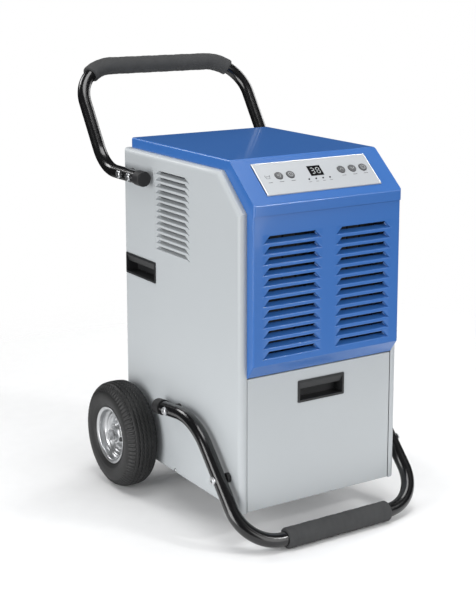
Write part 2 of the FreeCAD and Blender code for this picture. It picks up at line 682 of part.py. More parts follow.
def tank_bucket():
    """Open moulded bucket, with a step inside its front wall that clears the pull."""
    outer = block(-TANK_HALF, TANK_HALF, SHEET, TANK_BACK, TANK_FLOOR, TANK_RIM)
    upright = [edge for edge in outer.Edges
               if abs(edge.Vertexes[0].Z - edge.Vertexes[-1].Z) > 100
               and edge.Vertexes[0].Y > 50]
    outer = outer.makeFillet(14.0, upright)
    void = block(-TANK_HALF + TANK_WALL, TANK_HALF - TANK_WALL, SHEET + TANK_WALL,
                 TANK_BACK - TANK_WALL, TANK_FLOOR + TANK_WALL, TANK_RIM + 1)
    rear = [edge for edge in void.Edges
            if abs(edge.Vertexes[0].Z - edge.Vertexes[-1].Z) > 100
            and edge.Vertexes[0].Y > 50]
    void = void.makeFillet(14.0 - TANK_WALL, rear)
    half = TANK_PULL["length"] / 2
    low = TANK_PULL["z"] - TANK_PULL["height"] / 2
    step = block(-half - 1, half + 1, 0, PULL_DEPTH + TANK_WALL + 1, low - 1.5, TANK_RIM + 2)
    pocket = block(-half + 1.9, half - 1.9, 0, PULL_DEPTH + 0.5, low + 1.9,
                   TANK_PULL["z"] + TANK_PULL["height"] / 2 - 1.9)
    bucket = outer.cut(void.cut(step)).cut(pocket)
    ears = [block(x0, x0 + 3, FLOAT_PIN_Y - 7, TANK_BACK - TANK_WALL, FLOAT_PIN_Z - 7,
                  TANK_RIM - 6) for x0 in (-19.0, 16.0)]
    bucket = joined([bucket] + ears)
    return bucket.cut(rod(2.0, 50, Vector(-25, FLOAT_PIN_Y, FLOAT_PIN_Z), Vector(1, 0, 0)))


def tank_pull():
    """Moulded cup pull in the tank's face."""
    pull = cup_pull(TANK_PULL["length"], TANK_PULL["height"])
    pull.translate(Vector(0, 0, TANK_PULL["z"]))
    return pull


def float_pin():
    """Pin through the ears of the bucket, on which the float swings."""
    return rod(2.0, 44, Vector(-22, FLOAT_PIN_Y, FLOAT_PIN_Z), Vector(1, 0, 0))


def float_arm():
    """Float block on an arm, hanging low in an empty tank."""
    along = Vector(1, 0, 0)
    eye = rod(5.0, 30, Vector(-15, FLOAT_PIN_Y, FLOAT_PIN_Z), along)
    arm = block(-6, 6, FLOAT_PIN_Y - 48, FLOAT_PIN_Y, FLOAT_PIN_Z - 2, FLOAT_PIN_Z + 2)
    body = block(-28, 28, FLOAT_PIN_Y - 96, FLOAT_PIN_Y - 46, FLOAT_PIN_Z - 16, FLOAT_PIN_Z + 8)
    body = body.makeFillet(5.0, body.Edges)
    piece = joined([eye, arm, body])
    piece.rotate(Vector(0, FLOAT_PIN_Y, FLOAT_PIN_Z), along, 28)
    bore = rod(2.0 + RUNNING, 60, Vector(-30, FLOAT_PIN_Y, FLOAT_PIN_Z), along)
    return piece.cut(bore)


def level_switch():
    """Reed switch that hangs from the shelf behind the tank."""
    stem = block(-8, 8, TANK_BACK + 3, TANK_BACK + 6, FLOAT_PIN_Z, SHELF_Z)
    head = block(-12, 12, TANK_BACK + 3, TANK_BACK + 11, FLOAT_PIN_Z - 20, FLOAT_PIN_Z)
    return joined([stem, head])


# ---------------------------------------------------------------- air path

def intake_filter():
    """Mesh screen in a frame behind the grille."""
    frame = block(-146, 146, 2, 7, 312, 590)
    bars = frame.cut(block(-140, 140, 0, 10, 318, 584))
    strips = [block(-140, 140, 3.5, 5.5, z, z + 2) for z in range(340, 580, 24)]
    strips += [block(x, x + 2, 3.5, 5.5, 318, 584) for x in range(-112, 120, 28)]
    return joined([bars] + strips)


def coil(front, back, top):
    """Finned heat exchanger: fin pack, end plates, and the return bends of its tubes."""
    low = SHELF_Z + 14
    pack = block(-126, 126, front, back, low, top)
    plates = [block(x, x + 2, front - 3, back + 3, low - 6, top + 6) for x in (-128, 126)]
    pieces = [pack] + plates
    middle = (front + back) / 2
    rows = int((top - low) // 36)
    for side in (-1, 1):
        for row in range(rows):
            centre = Vector(side * 128, middle, low + 20 + 36 * row)
            bend = Part.makeTorus(9.0, 4.5, centre, Vector(0, 1, 0))
            keep = block(128, 150, front - 5, back + 5, low - 10, top + 10)
            if side < 0:
                keep = mirrored(keep)
            pieces.append(bend.common(keep))
    return joined(pieces)


def drip_tray():
    """Tray under the coils with a spout through the shelf, over the water tank."""
    outer = block(-142, 142, 12, 122, SHELF_Z + 1.5, SHELF_Z + 10)
    inner = block(-140, 140, 14, 120, SHELF_Z + 3.5, SHELF_Z + 12)
    spout = rod(8.0, 12.0, Vector(0, 66, SHELF_Z - 6), Vector(0, 0, 1))
    bore = rod(6.0, 30.0, Vector(0, 66, SHELF_Z - 10), Vector(0, 0, 1))
    return joined([outer.cut(inner), spout]).cut(bore)


def fan_shroud():
    """Square plate with a ring round the blades and four arms that carry the motor."""
    along = Vector(0, 1, 0)
    plate = block(-136, 136, 126, 128, FAN_Z - 130, FAN_Z + 130)
    collar = rod(FAN_R + 7, 40, Vector(0, 126, FAN_Z), along)
    mount = rod(34.0, 3.0, Vector(0, MOTOR_FRONT - 3, FAN_Z), along)
    arms = []
    for quarter in range(4):
        arm = block(20, FAN_R + 12, MOTOR_FRONT - 3, MOTOR_FRONT, -7, 7)
        leg = block(FAN_R + 5.5, FAN_R + 12, 127, MOTOR_FRONT, -7, 7)
        arm = arm.fuse(leg)
        arm.rotate(Vector(0, 0, 0), along, 45 + 90 * quarter)
        arm.translate(Vector(0, 0, FAN_Z))
        arms.append(arm)
    shroud = joined([plate.fuse(collar), mount] + arms)
    shroud = shroud.cut(rod(FAN_R + 4.5, MOTOR_FRONT - 3 - 120, Vector(0, 120, FAN_Z), along))
    return shroud.cut(rod(26.0, 10, Vector(0, MOTOR_FRONT - 5, FAN_Z), along))


def fan_motor():
    """Motor can with a nose and a bore for the shaft."""
    along = Vector(0, 1, 0)
    can = rod(34.0, 52, Vector(0, MOTOR_FRONT, FAN_Z), along)
    can = can.makeFillet(5.0, [edge for edge in can.Edges if edge.Vertexes[0].Y > MOTOR_FRONT + 9])
    nose = rod(14.0, 5, Vector(0, MOTOR_FRONT - 5, FAN_Z), along)
    return joined([can, nose]).cut(rod(4.0 + RUNNING, 45, Vector(0, MOTOR_FRONT - 6, FAN_Z), along))


def fan_shaft():
    """Shaft from the motor through the hub of the blades."""
    return rod(4.0, 77, Vector(0, 134, FAN_Z), Vector(0, 1, 0))


def fan_blades():
    """Five pitched blades on a hub."""
    along = Vector(0, 1, 0)
    hub = rod(24.0, 28, Vector(0, 136, 0), along)
    hub = hub.makeFillet(5.0, [edge for edge in hub.Edges if edge.Vertexes[0].Y < 137])
    pieces = [hub]
    for step in range(5):
        blade = block(-30, 30, -1.2, 1.2, 20, FAN_R + 4)
        blade.rotate(Vector(0, 0, 0), Vector(0, 0, 1), 28)
        blade.translate(Vector(0, 150, 0))
        blade.rotate(Vector(0, 0, 0), along, 72 * step)
        pieces.append(blade)
    fan = joined(pieces).common(rod(FAN_R, 60, Vector(0, 125, 0), along))
    fan = fan.cut(rod(4.0, 60, Vector(0, 120, 0), along))
    fan.translate(Vector(0, 0, FAN_Z))
    return fan


# ---------------------------------------------------------------- refrigeration

def compressor_foot_places():
    """(x, y) of the four rubber feet."""
    return [(COMPRESSOR_X + dx, COMPRESSOR_Y + dy) for dx in (-62, 62) for dy in (-62, 62)]


def compressor():
    """Welded can on a base plate, with its suction accumulator strapped beside it."""
    up = Vector(0, 0, 1)
    base = BAY_FLOOR + 14
    can = rod(COMPRESSOR_R, 196, Vector(COMPRESSOR_X, COMPRESSOR_Y, base + 3), up)
    can = can.makeFillet(24.0, [edge for edge in can.Edges
                                if edge.Curve.TypeId == "Part::GeomCircle"])
    plate = block(COMPRESSOR_X - 74, COMPRESSOR_X + 74, COMPRESSOR_Y - 74, COMPRESSOR_Y + 74,
                  base, base + 3)
    plate = plate.makeFillet(14.0, [edge for edge in plate.Edges
                                    if abs(edge.Vertexes[0].Z - edge.Vertexes[-1].Z) > 1])
    holes = [rod(5.0, 10, Vector(x, y, base - 3), up) for x, y in compressor_foot_places()]
    plate = plate.cut(Part.makeCompound(holes))
    web = rod(40.0, 30, Vector(COMPRESSOR_X, COMPRESSOR_Y, base + 1), up)
    flask = rod(19.0, 110, Vector(COMPRESSOR_X + 84, COMPRESSOR_Y, base + 60), up)
    flask = flask.makeFillet(9.0, [edge for edge in flask.Edges
                                   if edge.Curve.TypeId == "Part::GeomCircle"])
    strap = block(COMPRESSOR_X + 50, COMPRESSOR_X + 80, COMPRESSOR_Y - 6, COMPRESSOR_Y + 6,
                  base + 105, base + 117)
    return joined([can, plate, web, flask, strap])


def compressor_feet():
    """Rubber grommets that hold the base plate off the tray."""
    feet = []
    for x, y in compressor_foot_places():
        up = Vector(0, 0, 1)
        low = rod(9.0, 14, Vector(x, y, BAY_FLOOR), up)
        neck = rod(5.0, 3, Vector(x, y, BAY_FLOOR + 14), up)
        cap = rod(8.0, 3, Vector(x, y, BAY_FLOOR + 17), up)
        bore = rod(3.0, 30, Vector(x, y, BAY_FLOOR - 1), up)
        feet.append(joined([low, neck, cap]).cut(bore))
    return Part.makeCompound(feet)


def compressor_bolts():
    """Bolts through the feet into the base tray."""
    bolts = []
    for x, y in compressor_foot_places():
        up = Vector(0, 0, 1)
        shank = rod(3.0, 24, Vector(x, y, BAY_FLOOR - 2), up)
        head = rod(6.0, 4, Vector(x, y, BAY_FLOOR + 20), up)
        bolts.append(shank.fuse(head))
    return Part.makeCompound(bolts)


def copper(points, radius, bend):
    """A refrigerant pipe with equal bends at its inner points."""
    path = tube_path([Vector(*point) for point in points], [bend] * (len(points) - 2))
    return swept(path, radius, 0.0)


def suction_pipe():
    """From the evaporator's end plate over the shelf and down to the accumulator."""
    x = COMPRESSOR_X + 84
    flask_top = BAY_FLOOR + 14 + 170
    return copper([(128, 41, 573), (146, 41, 573), (146, 270, 573), (146, 270, 330),
                   (x, COMPRESSOR_Y, 330), (x, COMPRESSOR_Y, flask_top)], 4.0, 8.5)


def discharge_pipe():
    """From the compressor's top up to the condenser's end plate."""
    x = COMPRESSOR_X
    can_top = BAY_FLOOR + 14 + 199
    return copper([(x, COMPRESSOR_Y, can_top), (x, COMPRESSOR_Y, 340), (-145, COMPRESSOR_Y, 340),
                   (-145, COMPRESSOR_Y, 536), (-145, 96, 536), (-128, 96, 536)], 3.5, 8.5)


def liquid_pipe():
    """Capillary line between condenser and evaporator."""
    return copper([(-128, 96, 356), (-147, 96, 356), (-147, 41, 356), (-128, 41, 356)], 2.0, 6.0)


def run_capacitor():
    """Capacitor can of the compressor."""
    can = rod(20.0, 78, Vector(104, 330, BAY_FLOOR), Vector(0, 0, 1))
    tags = [block(x, x + 2, 324, 331, BAY_FLOOR + 78, BAY_FLOOR + 86) for x in (96, 110)]
    return joined([can] + tags)


# ---------------------------------------------------------------- rear fittings and screws

def drain_outlet():
    """Hose barb for continuous drainage, with a flange on the rear panel."""
    along = Vector(0, 1, 0)
    centre = Vector(100, DEPTH, 88)
    flange = rod(15.0, 3, centre, along)
    stub = rod(9.0, 14, centre - along * 12, along)
    barb = rod(6.5, 24, centre, along)
    return joined([flange, stub, barb]).cut(rod(4.5, 60, centre - along * 20, along))


def cable_gland():
    """Screwed gland for a mains lead, empty, with its lock nut inside the panel."""
    along = Vector(0, 1, 0)
    centre = Vector(-120, DEPTH, 88)
    body = rod(8.0, 22, centre - along * 10, along)
    dome = rod(11.0, 14, centre + along * 2, along)
    dome = dome.makeFillet(4.0, [edge for edge in dome.Edges if edge.Vertexes[0].Y > DEPTH + 9])
    collar = rod(13.0, 3, centre, along)
    nut = rod(12.0, 4, centre - along * (SHEET + 4), along)
    return joined([body, dome, collar, nut]).cut(rod(4.2, 60, centre - along * 20, along))


def pan_screw(place, along):
    """Pan-head screw: the head stands on the sheet and the shank goes through it."""
    head = rod(3.6, 2.2, place, along)
    rim = [edge for edge in head.Edges if edge.Curve.TypeId == "Part::GeomCircle"
           and (edge.Curve.Center - place).dot(along) > 1]
    return head.makeFillet(1.4, rim)


def panel_screws():
    """Two screws at the foot of each side, four up each edge of the rear panel, two in the lid."""
    screws = []
    for side in (-1, 1):
        out = Vector(side, 0, 0)
        for y in (60.0, 227.6):
            screws.append(pan_screw(Vector(side * HALF_WIDTH, y, 64.5), out))
        for z in (90, 280, 470, 640):
            screws.append(pan_screw(Vector(side * 150, DEPTH, z), Vector(0, 1, 0)))
        screws.append(pan_screw(Vector(side * 120, LID_REAR, LID_TOP - 10), Vector(0, 1, 0)))
    return Part.makeCompound(screws)


# ---------------------------------------------------------------- all sub-parts

def frame_groups():
    """The bolts and spacers of the tube frame on both sides."""
    places = frame_bolt_places()
    bolts = Part.makeCompound([frame_bolt(y, z) for y, z in places])
    spacers = Part.makeCompound([frame_spacer(y, z) for y, z in places])
    return {"frame_bolts": both_sides(bolts), "frame_spacers": both_sides(spacers)}


def wheel_set():
    """Both wheels' parts: the left ones are mirror images of the right ones."""
    nodes = {}
    makers = {"tyre": tyre, "rim": wheel_rim, "disc": wheel_disc, "bearings": wheel_bearings,
              "valve": tyre_valve}
    for name, make in makers.items():
        shape = make()
        nodes["right_" + name] = shape
        nodes["left_" + name] = mirrored(shape)
    return nodes


def all_nodes():
    """Every sub-part by its node name."""
    right_side = side_panel()
    right_pull = side_pull()
    nodes = {
        "right_side_panel": right_side,
        "left_side_panel": mirrored(right_side),
        "rear_panel": rear_panel(),
        "base_tray": base_tray(),
        "mid_shelf": mid_shelf(),
        "top_cover": top_cover(),
        "front_grille": front_grille(),
        "control_fascia": control_fascia(),
        "display_window": display_window(),
        "indicator_lights": indicator_lights(),
        "control_board": control_board(),
        "control_box": control_box(),
        "right_side_pull": right_pull,
        "left_side_pull": mirrored(right_pull),
        "handle_tube": handle_tube(),
        "handle_grip": handle_grip(),
        "bar_tube": bar_tube(),
        "bar_grip": bar_grip(),
        "tube_end_caps": both_sides(Part.makeCompound([end_cap(handle_path()),
                                                       end_cap(bar_path())])),
        "stub_axles": both_sides(stub_axle()),
        "axle_hardware": both_sides(axle_hardware()),
        "tank_face": tank_face(),
        "tank_bucket": tank_bucket(),
        "tank_pull": tank_pull(),
        "float_pin": float_pin(),
        "float_arm": float_arm(),
        "level_switch": level_switch(),
        "intake_filter": intake_filter(),
        "evaporator_coil": coil(20, 62, 575),
        "condenser_coil": coil(76, 116, 575),
        "drip_tray": drip_tray(),
        "fan_shroud": fan_shroud(),
        "fan_motor": fan_motor(),
        "fan_shaft": fan_shaft(),
        "fan_blades": fan_blades(),
        "compressor": compressor(),
        "compressor_feet": compressor_feet(),
        "compressor_bolts": compressor_bolts(),
        "refrigerant_pipes": Part.makeCompound([suction_pipe(), discharge_pipe(), liquid_pipe()]),
        "run_capacitor": run_capacitor(),
        "drain_outlet": drain_outlet(),
        "cable_gland": cable_gland(),
        "panel_screws": panel_screws(),
    }
    nodes.update(frame_groups())
    nodes.update(wheel_set())
    for number, x in enumerate(BUTTON_X, start=1):
        nodes["button_%d" % number] = button(x)
    return nodes


os.makedirs("parts", exist_ok=True)
for name, shape in all_nodes().items():
    shape.translate(Vector(0, -ORIGIN_Y, 0))
    shape.exportStep("parts/" + name + ".step")
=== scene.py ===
"""The looks of a wheeled commercial dehumidifier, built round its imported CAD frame, in metres."""
import math
import bmesh
import bpy
import numpy as np
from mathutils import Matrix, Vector


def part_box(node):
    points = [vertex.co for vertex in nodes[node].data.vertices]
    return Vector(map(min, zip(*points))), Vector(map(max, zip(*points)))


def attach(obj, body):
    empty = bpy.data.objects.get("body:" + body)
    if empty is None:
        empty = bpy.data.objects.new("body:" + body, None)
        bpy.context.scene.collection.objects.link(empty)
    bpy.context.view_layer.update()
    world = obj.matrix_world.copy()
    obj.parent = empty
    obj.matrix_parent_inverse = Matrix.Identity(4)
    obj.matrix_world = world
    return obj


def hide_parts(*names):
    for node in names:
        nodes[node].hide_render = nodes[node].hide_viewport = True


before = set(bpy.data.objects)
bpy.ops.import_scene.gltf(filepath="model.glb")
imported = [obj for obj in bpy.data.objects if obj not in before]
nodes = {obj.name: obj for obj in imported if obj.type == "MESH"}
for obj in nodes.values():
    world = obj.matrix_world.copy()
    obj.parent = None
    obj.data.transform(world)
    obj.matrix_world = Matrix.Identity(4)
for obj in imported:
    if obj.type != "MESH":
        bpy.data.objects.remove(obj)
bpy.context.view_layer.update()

# ---------------------------------------------------------------- camera
# A long lens on a stand, in front of the machine's left corner and a little above its lid,
# tilted down a little. The lens is shifted down, so that upright edges stay nearly upright.

CAMERA_TURN = math.radians(-32.44)
CAMERA_TILT = math.radians(10.42)
CAMERA_LENS = 79.7
CAMERA_SHIFT = -0.16
CAMERA_PLACE = (-1.3678, -2.1398, 1.0223)
camera_data = bpy.data.cameras.new("camera")
camera_data.lens = CAMERA_LENS
camera_data.shift_y = CAMERA_SHIFT
camera = bpy.data.objects.new("camera", camera_data)
bpy.context.scene.collection.objects.link(camera)
bpy.context.scene.camera = camera
camera.location = CAMERA_PLACE
back = Vector((math.sin(CAMERA_TURN) * math.cos(CAMERA_TILT),
               -math.cos(CAMERA_TURN) * math.cos(CAMERA_TILT),
               math.sin(CAMERA_TILT)))
camera.rotation_euler = back.to_track_quat("Z", "Y").to_euler()

# ---------------------------------------------------------------- studio
# White paper that fades into a white room, lit by soft boxes and one small lamp. The room is
# plain white to look at but sheds less light, so that the boxes shape the machine.

AIM = (0.0, 0.0, 0.35)          # a point in the middle of the cabinet
SEEN_WHITE = 1.0
MIRRORED_LIGHT = 0.025
SHED_LIGHT = 0.26


def soft_box(name, place, target, size, power):
    """A rectangular lamp at place, aimed at target."""
    data = bpy.data.lights.new(name, "AREA")
    data.shape = "RECTANGLE"
    data.size, data.size_y = size
    data.energy = power
    lamp = bpy.data.objects.new(name, data)
    bpy.context.scene.collection.objects.link(lamp)
    lamp.location = place
    lamp.rotation_euler = (Vector(target) - Vector(place)).to_track_quat("-Z", "Y").to_euler()


soft_box("front_box", (0.7, -3.3, 0.95), AIM, (2.2, 2.4), 44)
soft_box("left_box", (-3.3, -0.7, 0.75), AIM, (2.0, 2.4), 92)
soft_box("right_box", (3.2, 1.2, 1.6), AIM, (1.6, 2.2), 46)
soft_box("rear_box", (-1.6, 3.2, 3.0), AIM, (1.4, 1.4), 45)
soft_box("overhead", (0.1, -0.4, 3.4), (0.0, 0.0, 0.3), (2.6, 1.4), 62)
soft_box("edge_lamp", (1.6, -2.3, 2.1), (0.0, -0.2, 0.5), (0.35, 0.35), 22)

room = bpy.data.worlds.new("studio")
room.use_nodes = True
room_tree = room.node_tree
seen = room_tree.nodes["Background"]
seen.inputs["Color"].default_value = (1.0, 1.0, 1.0, 1.0)
seen.inputs["Strength"].default_value = SEEN_WHITE
ray = room_tree.nodes.new("ShaderNodeLightPath")
ahead = seen.outputs[0]
for kind, strength in (("Is Glossy Ray", MIRRORED_LIGHT), ("Is Diffuse Ray", SHED_LIGHT)):
    shed = room_tree.nodes.new("ShaderNodeBackground")
    shed.inputs["Color"].default_value = (0.96, 0.98, 1.0, 1.0)
    shed.inputs["Strength"].default_value = strength
    chosen = room_tree.nodes.new("ShaderNodeMixShader")
    room_tree.links.new(ray.outputs[kind], chosen.inputs[0])
    room_tree.links.new(ahead, chosen.inputs[1])
    room_tree.links.new(shed.outputs[0], chosen.inputs[2])
    ahead = chosen.outputs[0]
room_tree.links.new(ahead, room_tree.nodes["World Output"].inputs[0])
bpy.context.scene.world = room
bpy.context.scene.view_settings.view_transform = "Standard"


class Tone:
    """A value in a finish. Its operators add Math nodes."""

    def __init__(self, finish, socket):
        self.finish = finish
        self.socket = socket

    def worked(self, operation, first, second):
        """The tone that a Math node gives for two tones or numbers."""
        return self.finish.node("ShaderNodeMath", {"operation": operation},
                                {0: first, 1: second})

    def __add__(self, other):
        return self.worked("ADD", self, other)

    def __sub__(self, other):
        return self.worked("SUBTRACT", self, other)

    def __rsub__(self, other):
        return self.worked("SUBTRACT", other, self)

    def __mul__(self, other):
        return self.worked("MULTIPLY", self, other)

    __radd__ = __add__
    __rmul__ = __mul__


class Finish:
    """A surface finish: one Principled shader and the nodes that vary it."""

    def __init__(self, name, colour, roughness, **constants):
        self.material = bpy.data.materials.new(name)
        self.material.use_nodes = True
        self.tree = self.material.node_tree
        self.shader = self.tree.nodes["Principled BSDF"]
        self.set("Base Color", (*colour, 1.0))
        self.set("Roughness", roughness)
        for socket, value in constants.items():
            self.set(socket.replace("_", " "), value)

    def set(self, socket, value):
        """Link a tone to a socket of the shader, or write a constant into it."""
        if isinstance(value, Tone):
            self.tree.links.new(value.socket, self.shader.inputs[socket])
        else:
            self.shader.inputs[socket].default_value = value

    def node(self, kind, settings, sockets, output=0):
        """Add a node: its settings first, then the values or links of its sockets."""
        made = self.tree.nodes.new(kind)
        for name, value in settings.items():
            setattr(made, name, value)
        for name, value in sockets.items():
            if isinstance(value, Tone):
                self.tree.links.new(value.socket, made.inputs[name])
            else:
                made.inputs[name].default_value = value
        return Tone(self, made.outputs[output])

    def place(self):
        """Where a point lies in object space."""
        return self.node("ShaderNodeTexCoord", {}, {}, "Object")

    def noise(self, scale, detail=2.0, along=(1.0, 1.0, 1.0)):
        """Cloudy noise in object space, scale cells to the metre, stretched by along."""
        stretched = self.node("ShaderNodeMapping", {}, {"Vector": self.place(), "Scale": along})
        return self.node("ShaderNodeTexNoise", {},
                         {"Vector": stretched, "Scale": scale, "Detail": detail})

    def cells(self, scale):
        """Distance to the nearest of many scattered points, scale points to the metre."""
        return self.node("ShaderNodeTexVoronoi", {"feature": "F1"},
                         {"Vector": self.place(), "Scale": scale})

    def mottle(self, factor, first, second):
        """Vary the base colour between first and second."""
        mixed = self.node("ShaderNodeMix", {"data_type": "RGBA"},
                          {0: factor, 6: (*first, 1.0), 7: (*second, 1.0)}, 2)
        self.set("Base Color", mixed)

    def weather(self, pattern, darker, lighter, smooth, uneven):
        """Vary the colour and the roughness by one pattern."""
        self.mottle(pattern, darker, lighter)
        self.set("Roughness", smooth + pattern * uneven)

    def bump(self, height, distance, strength=1.0):
        """Raise the surface by height times distance, and hand over the finished material."""
        raised = self.node("ShaderNodeBump", {},
                           {"Height": height, "Distance": distance, "Strength": strength})
        self.set("Normal", raised)
        return self.material


PAPER_HALF = 4.0
PAPER_CLEAR = 0.55
PAPER_GONE = 1.5


def floor_paper():
    """White paper whose alpha falls from one to nothing with distance from the machine."""
    finish = Finish("floor_paper", (0.9, 0.9, 0.9), 0.7)
    finish.mottle(finish.noise(30.0), (0.88, 0.88, 0.88), (0.92, 0.92, 0.92))
    away = finish.node("ShaderNodeVectorMath", {"operation": "LENGTH"}, {0: finish.place()}, 1)
    fade = finish.node("ShaderNodeMapRange", {"interpolation_type": "SMOOTHSTEP"},
                       {"Value": away, "From Min": PAPER_CLEAR, "From Max": PAPER_GONE,
                        "To Min": 1.0, "To Max": 0.0})
    finish.set("Alpha", fade)
    return finish.material


floor_mesh = bpy.data.meshes.new("floor")
floor_mesh.from_pydata([(-PAPER_HALF, -PAPER_HALF, 0), (PAPER_HALF, -PAPER_HALF, 0),
                        (PAPER_HALF, PAPER_HALF, 0), (-PAPER_HALF, PAPER_HALF, 0)],
                       [], [(0, 1, 2, 3)])
floor_mesh.materials.append(floor_paper())
floor = bpy.data.objects.new("floor", floor_mesh)
bpy.context.scene.collection.objects.link(floor)

# ---------------------------------------------------------------- side panels
# Each side is one sheet of steel, folded in at all five edges, with thirteen louvres pressed
# inwards and a hole for the hand pull. It is powder coated satin grey with a faint orange peel.

SHEET = 0.0012
PANEL_BEND = 0.0095
SLOPE_RUN = 0.0725              # how far back the sloping front corner reaches at the top
SLOPE_FOOT = 0.596              # height at which it starts
SIDE_LOUVRES = {"near": 0.1735, "far": 0.2945, "bevel": 0.0125, "height": 0.0080,
                "pitch": 0.01195, "lowest": 0.4836, "count": 13, "depth": 0.0095,
                "rise": 0.0034, "lip": 0.0011, "margin": 0.003}
TOUCHING = 0.000005             # points nearer than this are one
NO_LENGTH = 0.000001
PULL_LAP = 0.002                # how far the hand pull laps over its hole's edge
ROLL_STEPS = 8
panel_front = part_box("left_side_panel")[0].y
panel_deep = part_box("left_side_panel")[1].y - panel_front
panel_low, panel_high = (corner.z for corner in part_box("left_side_panel"))


def powder_coat(name, darker, lighter, roughness, cloud_scale, peel_scale, peel_strength,
                **constants):
    """Powder coat: slight clouds of colour and fine orange peel."""
    finish = Finish(name, darker, roughness, **constants)
    finish.mottle(finish.noise(cloud_scale, 3.0), darker, lighter)
    peel = finish.noise(peel_scale)
    finish.set("Roughness", roughness + peel * 0.12)
    return finish.bump(peel, 0.00004, peel_strength)


def paint(material, *names):
    """Give CAD nodes a finished surface."""
    for name in names:
        slots = nodes[name].material_slots
        for slot in slots:
            slot.material = material
        if not len(slots):
            nodes[name].data.materials.append(material)


def patch(points, around=False, capped=False, loop=False):
    """Vertices and faces of a (rows, columns, 3) grid of points, with a face for every four
    neighbours. around joins the last column to the first, loop the last row to the first, and
    capped closes both end rows."""
    rows, columns = points.shape[:2]
    index = np.arange(rows * columns).reshape(rows, columns)
    closed = np.hstack([index, index[:, :1]]) if around else index
    closed = np.vstack([closed, closed[:1]]) if loop else closed
    faces = np.stack([closed[:-1, :-1], closed[:-1, 1:], closed[1:, 1:], closed[1:, :-1]], -1)
    faces = faces.reshape(-1, 4).tolist()
    if capped:
        faces += [index[0, ::-1].tolist(), index[-1].tolist()]
    return points.reshape(-1, 3), faces


def piece(name, patches, material, body, crease=35.0, sheet=0.0, outward=None, flat=False):
    """Join patches into one object, merge what touches, face it outwards, and let it ride on a
    CAD body. sheet thickens it inwards, outward is the way that an open sheet faces, and flat
    keeps the shading of its large faces even."""
    points = []
    faces = []
    start = 0
    for patch_points, patch_faces in patches:
        points.append(patch_points)
        faces += [[corner + start for corner in face] for face in patch_faces]
        start += len(patch_points)
    mesh = bpy.data.meshes.new(name)
    mesh.from_pydata(np.concatenate(points).tolist(), [], faces)
    work = bmesh.new()
    work.from_mesh(mesh)
    bmesh.ops.remove_doubles(work, verts=work.verts, dist=TOUCHING)
    bmesh.ops.dissolve_degenerate(work, edges=work.edges, dist=NO_LENGTH)
    bmesh.ops.recalc_face_normals(work, faces=work.faces)
    if outward is not None:
        facing = sum((face.normal * face.calc_area() for face in work.faces), Vector())
        if facing.dot(Vector(outward)) < 0:
            bmesh.ops.reverse_faces(work, faces=work.faces)
    work.to_mesh(mesh)
    work.free()
    mesh.polygons.foreach_set("use_smooth", [True] * len(mesh.polygons))
    mesh.set_sharp_from_angle(angle=math.radians(crease))
    mesh.materials.append(material)
    made = bpy.data.objects.new(name, mesh)
    bpy.context.scene.collection.objects.link(made)
    if sheet:
        wall = made.modifiers.new("sheet", "SOLIDIFY")
        wall.thickness = sheet
        wall.offset = -1.0
    if flat:
        even = made.modifiers.new("even_shading", "WEIGHTED_NORMAL")
        even.keep_sharp = True
    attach(made, body)
    return made


def cut_sheet(across, up, openings, place, out=0.0):
    """A sheet as a grid of cells between the breaks, without the cells in an opening, set out
    from its plane by the given amount."""
    grid_u, grid_v = np.meshgrid(across, up)
    points = place(np.stack([grid_u, grid_v, np.broadcast_to(out, grid_u.shape)], -1))
    index = np.arange(grid_u.size).reshape(grid_u.shape)
    faces = np.stack([index[:-1, :-1], index[:-1, 1:], index[1:, 1:], index[1:, :-1]], -1)
    middle_u, middle_v = np.meshgrid((across[:-1] + across[1:]) / 2, (up[:-1] + up[1:]) / 2)
    kept = np.ones(middle_u.shape, bool)
    for left, right, low, high in openings:
        kept &= ~((middle_u > left) & (middle_u < right) & (middle_v > low) & (middle_v < high))
    return points.reshape(-1, 3), faces[kept].tolist()


def bank_box(bank):
    """Left, right, lowest and highest break of a bank's cells."""
    low = bank["lowest"] - (bank["pitch"] - bank["height"]) / 2
    return (bank["near"] - bank["margin"], bank["far"] + bank["margin"],
            low, low + bank["pitch"] * bank["count"])


def bank_breaks(bank):
    """Heights at which one louvre's cell ends and the next begins."""
    return bank_box(bank)[2] + bank["pitch"] * np.arange(bank["count"] + 1)


